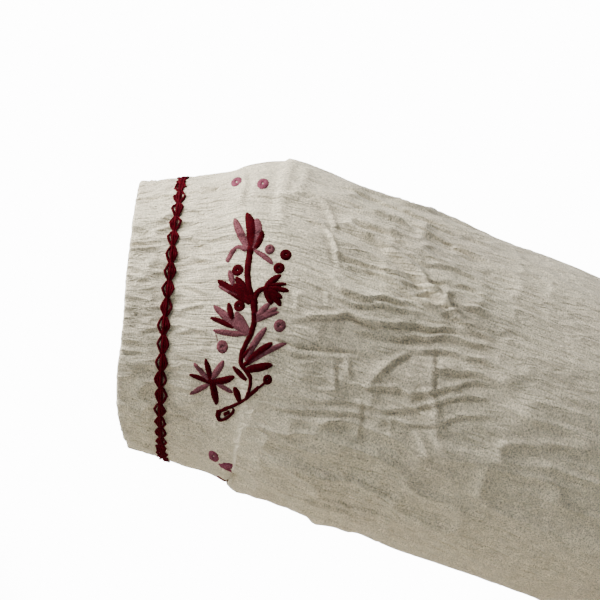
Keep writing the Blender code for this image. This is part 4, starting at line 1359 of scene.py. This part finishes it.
def chainPiece(word):
    look, tubes = chainLook, []
    draw = np.random.default_rng(look["seed"])
    lengths = 1 + look["stretch"] * outerSide((np.arange(look["count"]) + 0.5) / look["count"])
    joins = np.concatenate([[0], np.cumsum(lengths)]) / lengths.sum()
    x = np.linspace(-look["overlap"], 1 + look["overlap"], 9)
    held = np.clip(x, 0, 1)
    shape = look["neck"] + (1 - look["neck"]) * (1 - np.abs(2 * held - 1) ** 1.25)
    for start, end in zip(joins, joins[1:]):
        across = draw.normal(0, 0.12)
        wide = draw.uniform(0.92, 1.06)
        slit = draw.choice([1, 3]) if draw.random() < look["openShare"] else -1
        share = start + x * (end - start)
        middle = look["fromEdge"] - look["drop"] * outerSide(share) + across
        for n, bulge in enumerate(look["bulges"]):
            bow = bulge * wide * shape * (1 - 0.25 * (n == slit))
            lift = look["lift"] + 0.2 * (n == 2) + 0.12 * np.sin(math.pi * held)
            half = look["thread"] * (look["slitThread"] if n == slit else 1.0)
            points, away = onCasingSeam(middle + bow, share, lift)
            tubes.append(ovalTube(points, away, half * mm, look["threadHeight"] * mm, 6))
    if word == "right":
        tubes = [tube[:, ::-1] * mirror for tube in tubes]
    return tubeMesh("diamondChain" + word.capitalize(), tubes, chainCrimson)


chains = {word: chainPiece(word) for word in ("left", "right")}
print("chain", trianglesOf(chains["right"]))


def place(piece, slot=None):
    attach(piece, "root")


for word in ("left", "right"):
    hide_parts("sleeve_" + word)
    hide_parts("cuff_casing_" + word)
    place(sleevePieces[word], "gauze")
    place(casingPieces[word], "casing")
    for piece in sprigs[word] + [chains[word]]:
        place(piece)
for word in ("front", "back"):
    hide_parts(word)
    place(bodyPieces[word], "gauze")
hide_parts("neckband")
place(neckband, "band")
for piece in (welts, hemStitches, neckStitches, raglanStitches):
    place(piece)
print("placed")


# Camera, floor and light
viewLook = {
    "aimFromEdge": 0.060,     # metres up the right sleeve
    "aimY": -0.012,
    "shiftRight": 0.0066,
    "shiftUp": 0.0125,
    "distance": 0.6,
    "roll": math.radians(66.65),
    "lens": 90.0,             # mm on a 36 mm sensor: 22.6 degrees
    "floorHeight": -0.90,
    "floorSize": 60.0,
    "floorMelt": (0.5, 2.2),  # metres out, where the floor turns into the studio's white
    "white": 14.0,            # strength at which the studio shows as white
    "ambient": 0.135,
}
lightColumns = ("name", "towards", "aim", "distance", "size", "power", "colour", "beam")
lights = (  # metres, watts and degrees; the first is aimed at what the camera sees
    ("window", (-0.93, -0.12, -0.32), None, 0.72, 0.85, 25.5, (1.0, 0.99, 0.965), 180),
    ("fill", (0.45, -1.0, 0.25), (0, 0, -0.3), 3.0, 2.4, 9.0, (0.95, 1.0, 0.97), 180),
    ("backFill", (0.4, 1.0, 0.5), (0, 0, -0.3), 3.0, 2.4, 60.0, (1.0, 0.98, 0.96), 180),
    ("bodyLight", (0.35, -1.0, 0.35), (0.16, 0, -0.3), 1.6, 0.5, 1.0, (1.0, 0.99, 0.965), 30),
    ("sideLight", (1.0, -0.2, 0.3), (0.36, 0, -0.2), 1.6, 0.5, 0.7, (1.0, 0.99, 0.965), 30),
)


def makeCamera():
    roll = viewLook["roll"]
    right = Vector((math.cos(roll), 0, math.sin(roll)))
    up = Vector((-math.sin(roll), 0, math.cos(roll)))
    back = Vector((0, -1, 0))
    centre = armCentre(viewLook["aimFromEdge"]) * mirror
    aim = Vector((centre[0], viewLook["aimY"], centre[2]))
    aim += right * viewLook["shiftRight"]
    aim += up * viewLook["shiftUp"]
    data = bpy.data.cameras.new("camera")
    data.lens, data.sensor_width = viewLook["lens"], 36.0
    data.clip_start = 0.01
    camera = bpy.data.objects.new("camera", data)
    bpy.context.scene.collection.objects.link(camera)
    turned = Matrix((right, up, back)).transposed().to_4x4()
    camera.matrix_world = Matrix.Translation(aim + back * viewLook["distance"]) @ turned
    bpy.context.scene.camera = camera
    return aim


def makeFloor():
    bpy.ops.object.select_all(action="DESELECT")
    bpy.ops.mesh.primitive_plane_add(size=viewLook["floorSize"], location=(0, 0, viewLook["floorHeight"]))
    floor = bpy.context.object
    floor.name = "floor"
    values = {"Roughness": 0.95, "Base Color": (0.9, 0.9, 0.9, 1.0)}
    material, tree, shader = newMaterial("palePlaster", values)
    # Far from the top the floor melts into the white of the studio, which lights nothing
    place = addNode(tree, "ShaderNodeTexCoord").outputs["Object"]
    far = addNode(tree, "ShaderNodeVectorMath", {"operation": "LENGTH"}, {}, {0: place}).outputs["Value"]
    near, gone = viewLook["floorMelt"]
    melt = addNode(tree, "ShaderNodeMapRange", {"interpolation_type": "SMOOTHSTEP"}, {
        "From Min": near, "From Max": gone}, {"Value": far}).outputs[0]
    seen = addNode(tree, "ShaderNodeLightPath").outputs["Is Camera Ray"]
    share = addNode(tree, "ShaderNodeMath", {"operation": "MULTIPLY"}, {}, {0: melt, 1: seen}).outputs[0]
    white = addNode(tree, "ShaderNodeEmission", {}, {"Strength": viewLook["white"]})
    shown = {0: share, 1: shader.outputs[0], 2: white.outputs[0]}
    mixed = addNode(tree, "ShaderNodeMixShader", {}, {}, shown)
    tree.links.new(mixed.outputs[0], tree.nodes["Material Output"].inputs["Surface"])
    floor.data.materials.append(material)


def makeLight(row, seen):
    look = dict(zip(lightColumns, row))
    data = bpy.data.lights.new(look["name"], "AREA")
    data.shape, data.size, data.energy, data.color = "DISK", look["size"], look["power"], look["colour"]
    data.spread = math.radians(look["beam"])
    light = bpy.data.objects.new(look["name"], data)
    bpy.context.scene.collection.objects.link(light)
    towards = Vector(look["towards"]).normalized()
    light.location = Vector(look["aim"] or seen) + towards * look["distance"]
    light.visible_camera = False
    light.rotation_mode = "QUATERNION"
    light.rotation_quaternion = towards.to_track_quat("Z", "Y")


def makeWorld():
    world = bpy.data.worlds.new("studio")
    bpy.context.scene.world = world
    world.use_nodes = True
    tree = world.node_tree
    tree.nodes.clear()
    seen = addNode(tree, "ShaderNodeLightPath").outputs["Is Camera Ray"]
    dim = addNode(tree, "ShaderNodeBackground", {}, {
        "Color": (0.94, 1.0, 0.99, 1.0), "Strength": viewLook["ambient"]})
    white = addNode(tree, "ShaderNodeBackground", {}, {
        "Color": (1.0, 1.0, 1.0, 1.0), "Strength": viewLook["white"]})
    mixed = addNode(tree, "ShaderNodeMixShader", {}, {}, {0: seen, 1: dim.outputs[0], 2: white.outputs[0]})
    addNode(tree, "ShaderNodeOutputWorld", {}, {}, {"Surface": mixed.outputs[0]})


aim = makeCamera()
makeFloor()
makeWorld()
for row in lights:
    makeLight(row, aim)
print("camera and light")
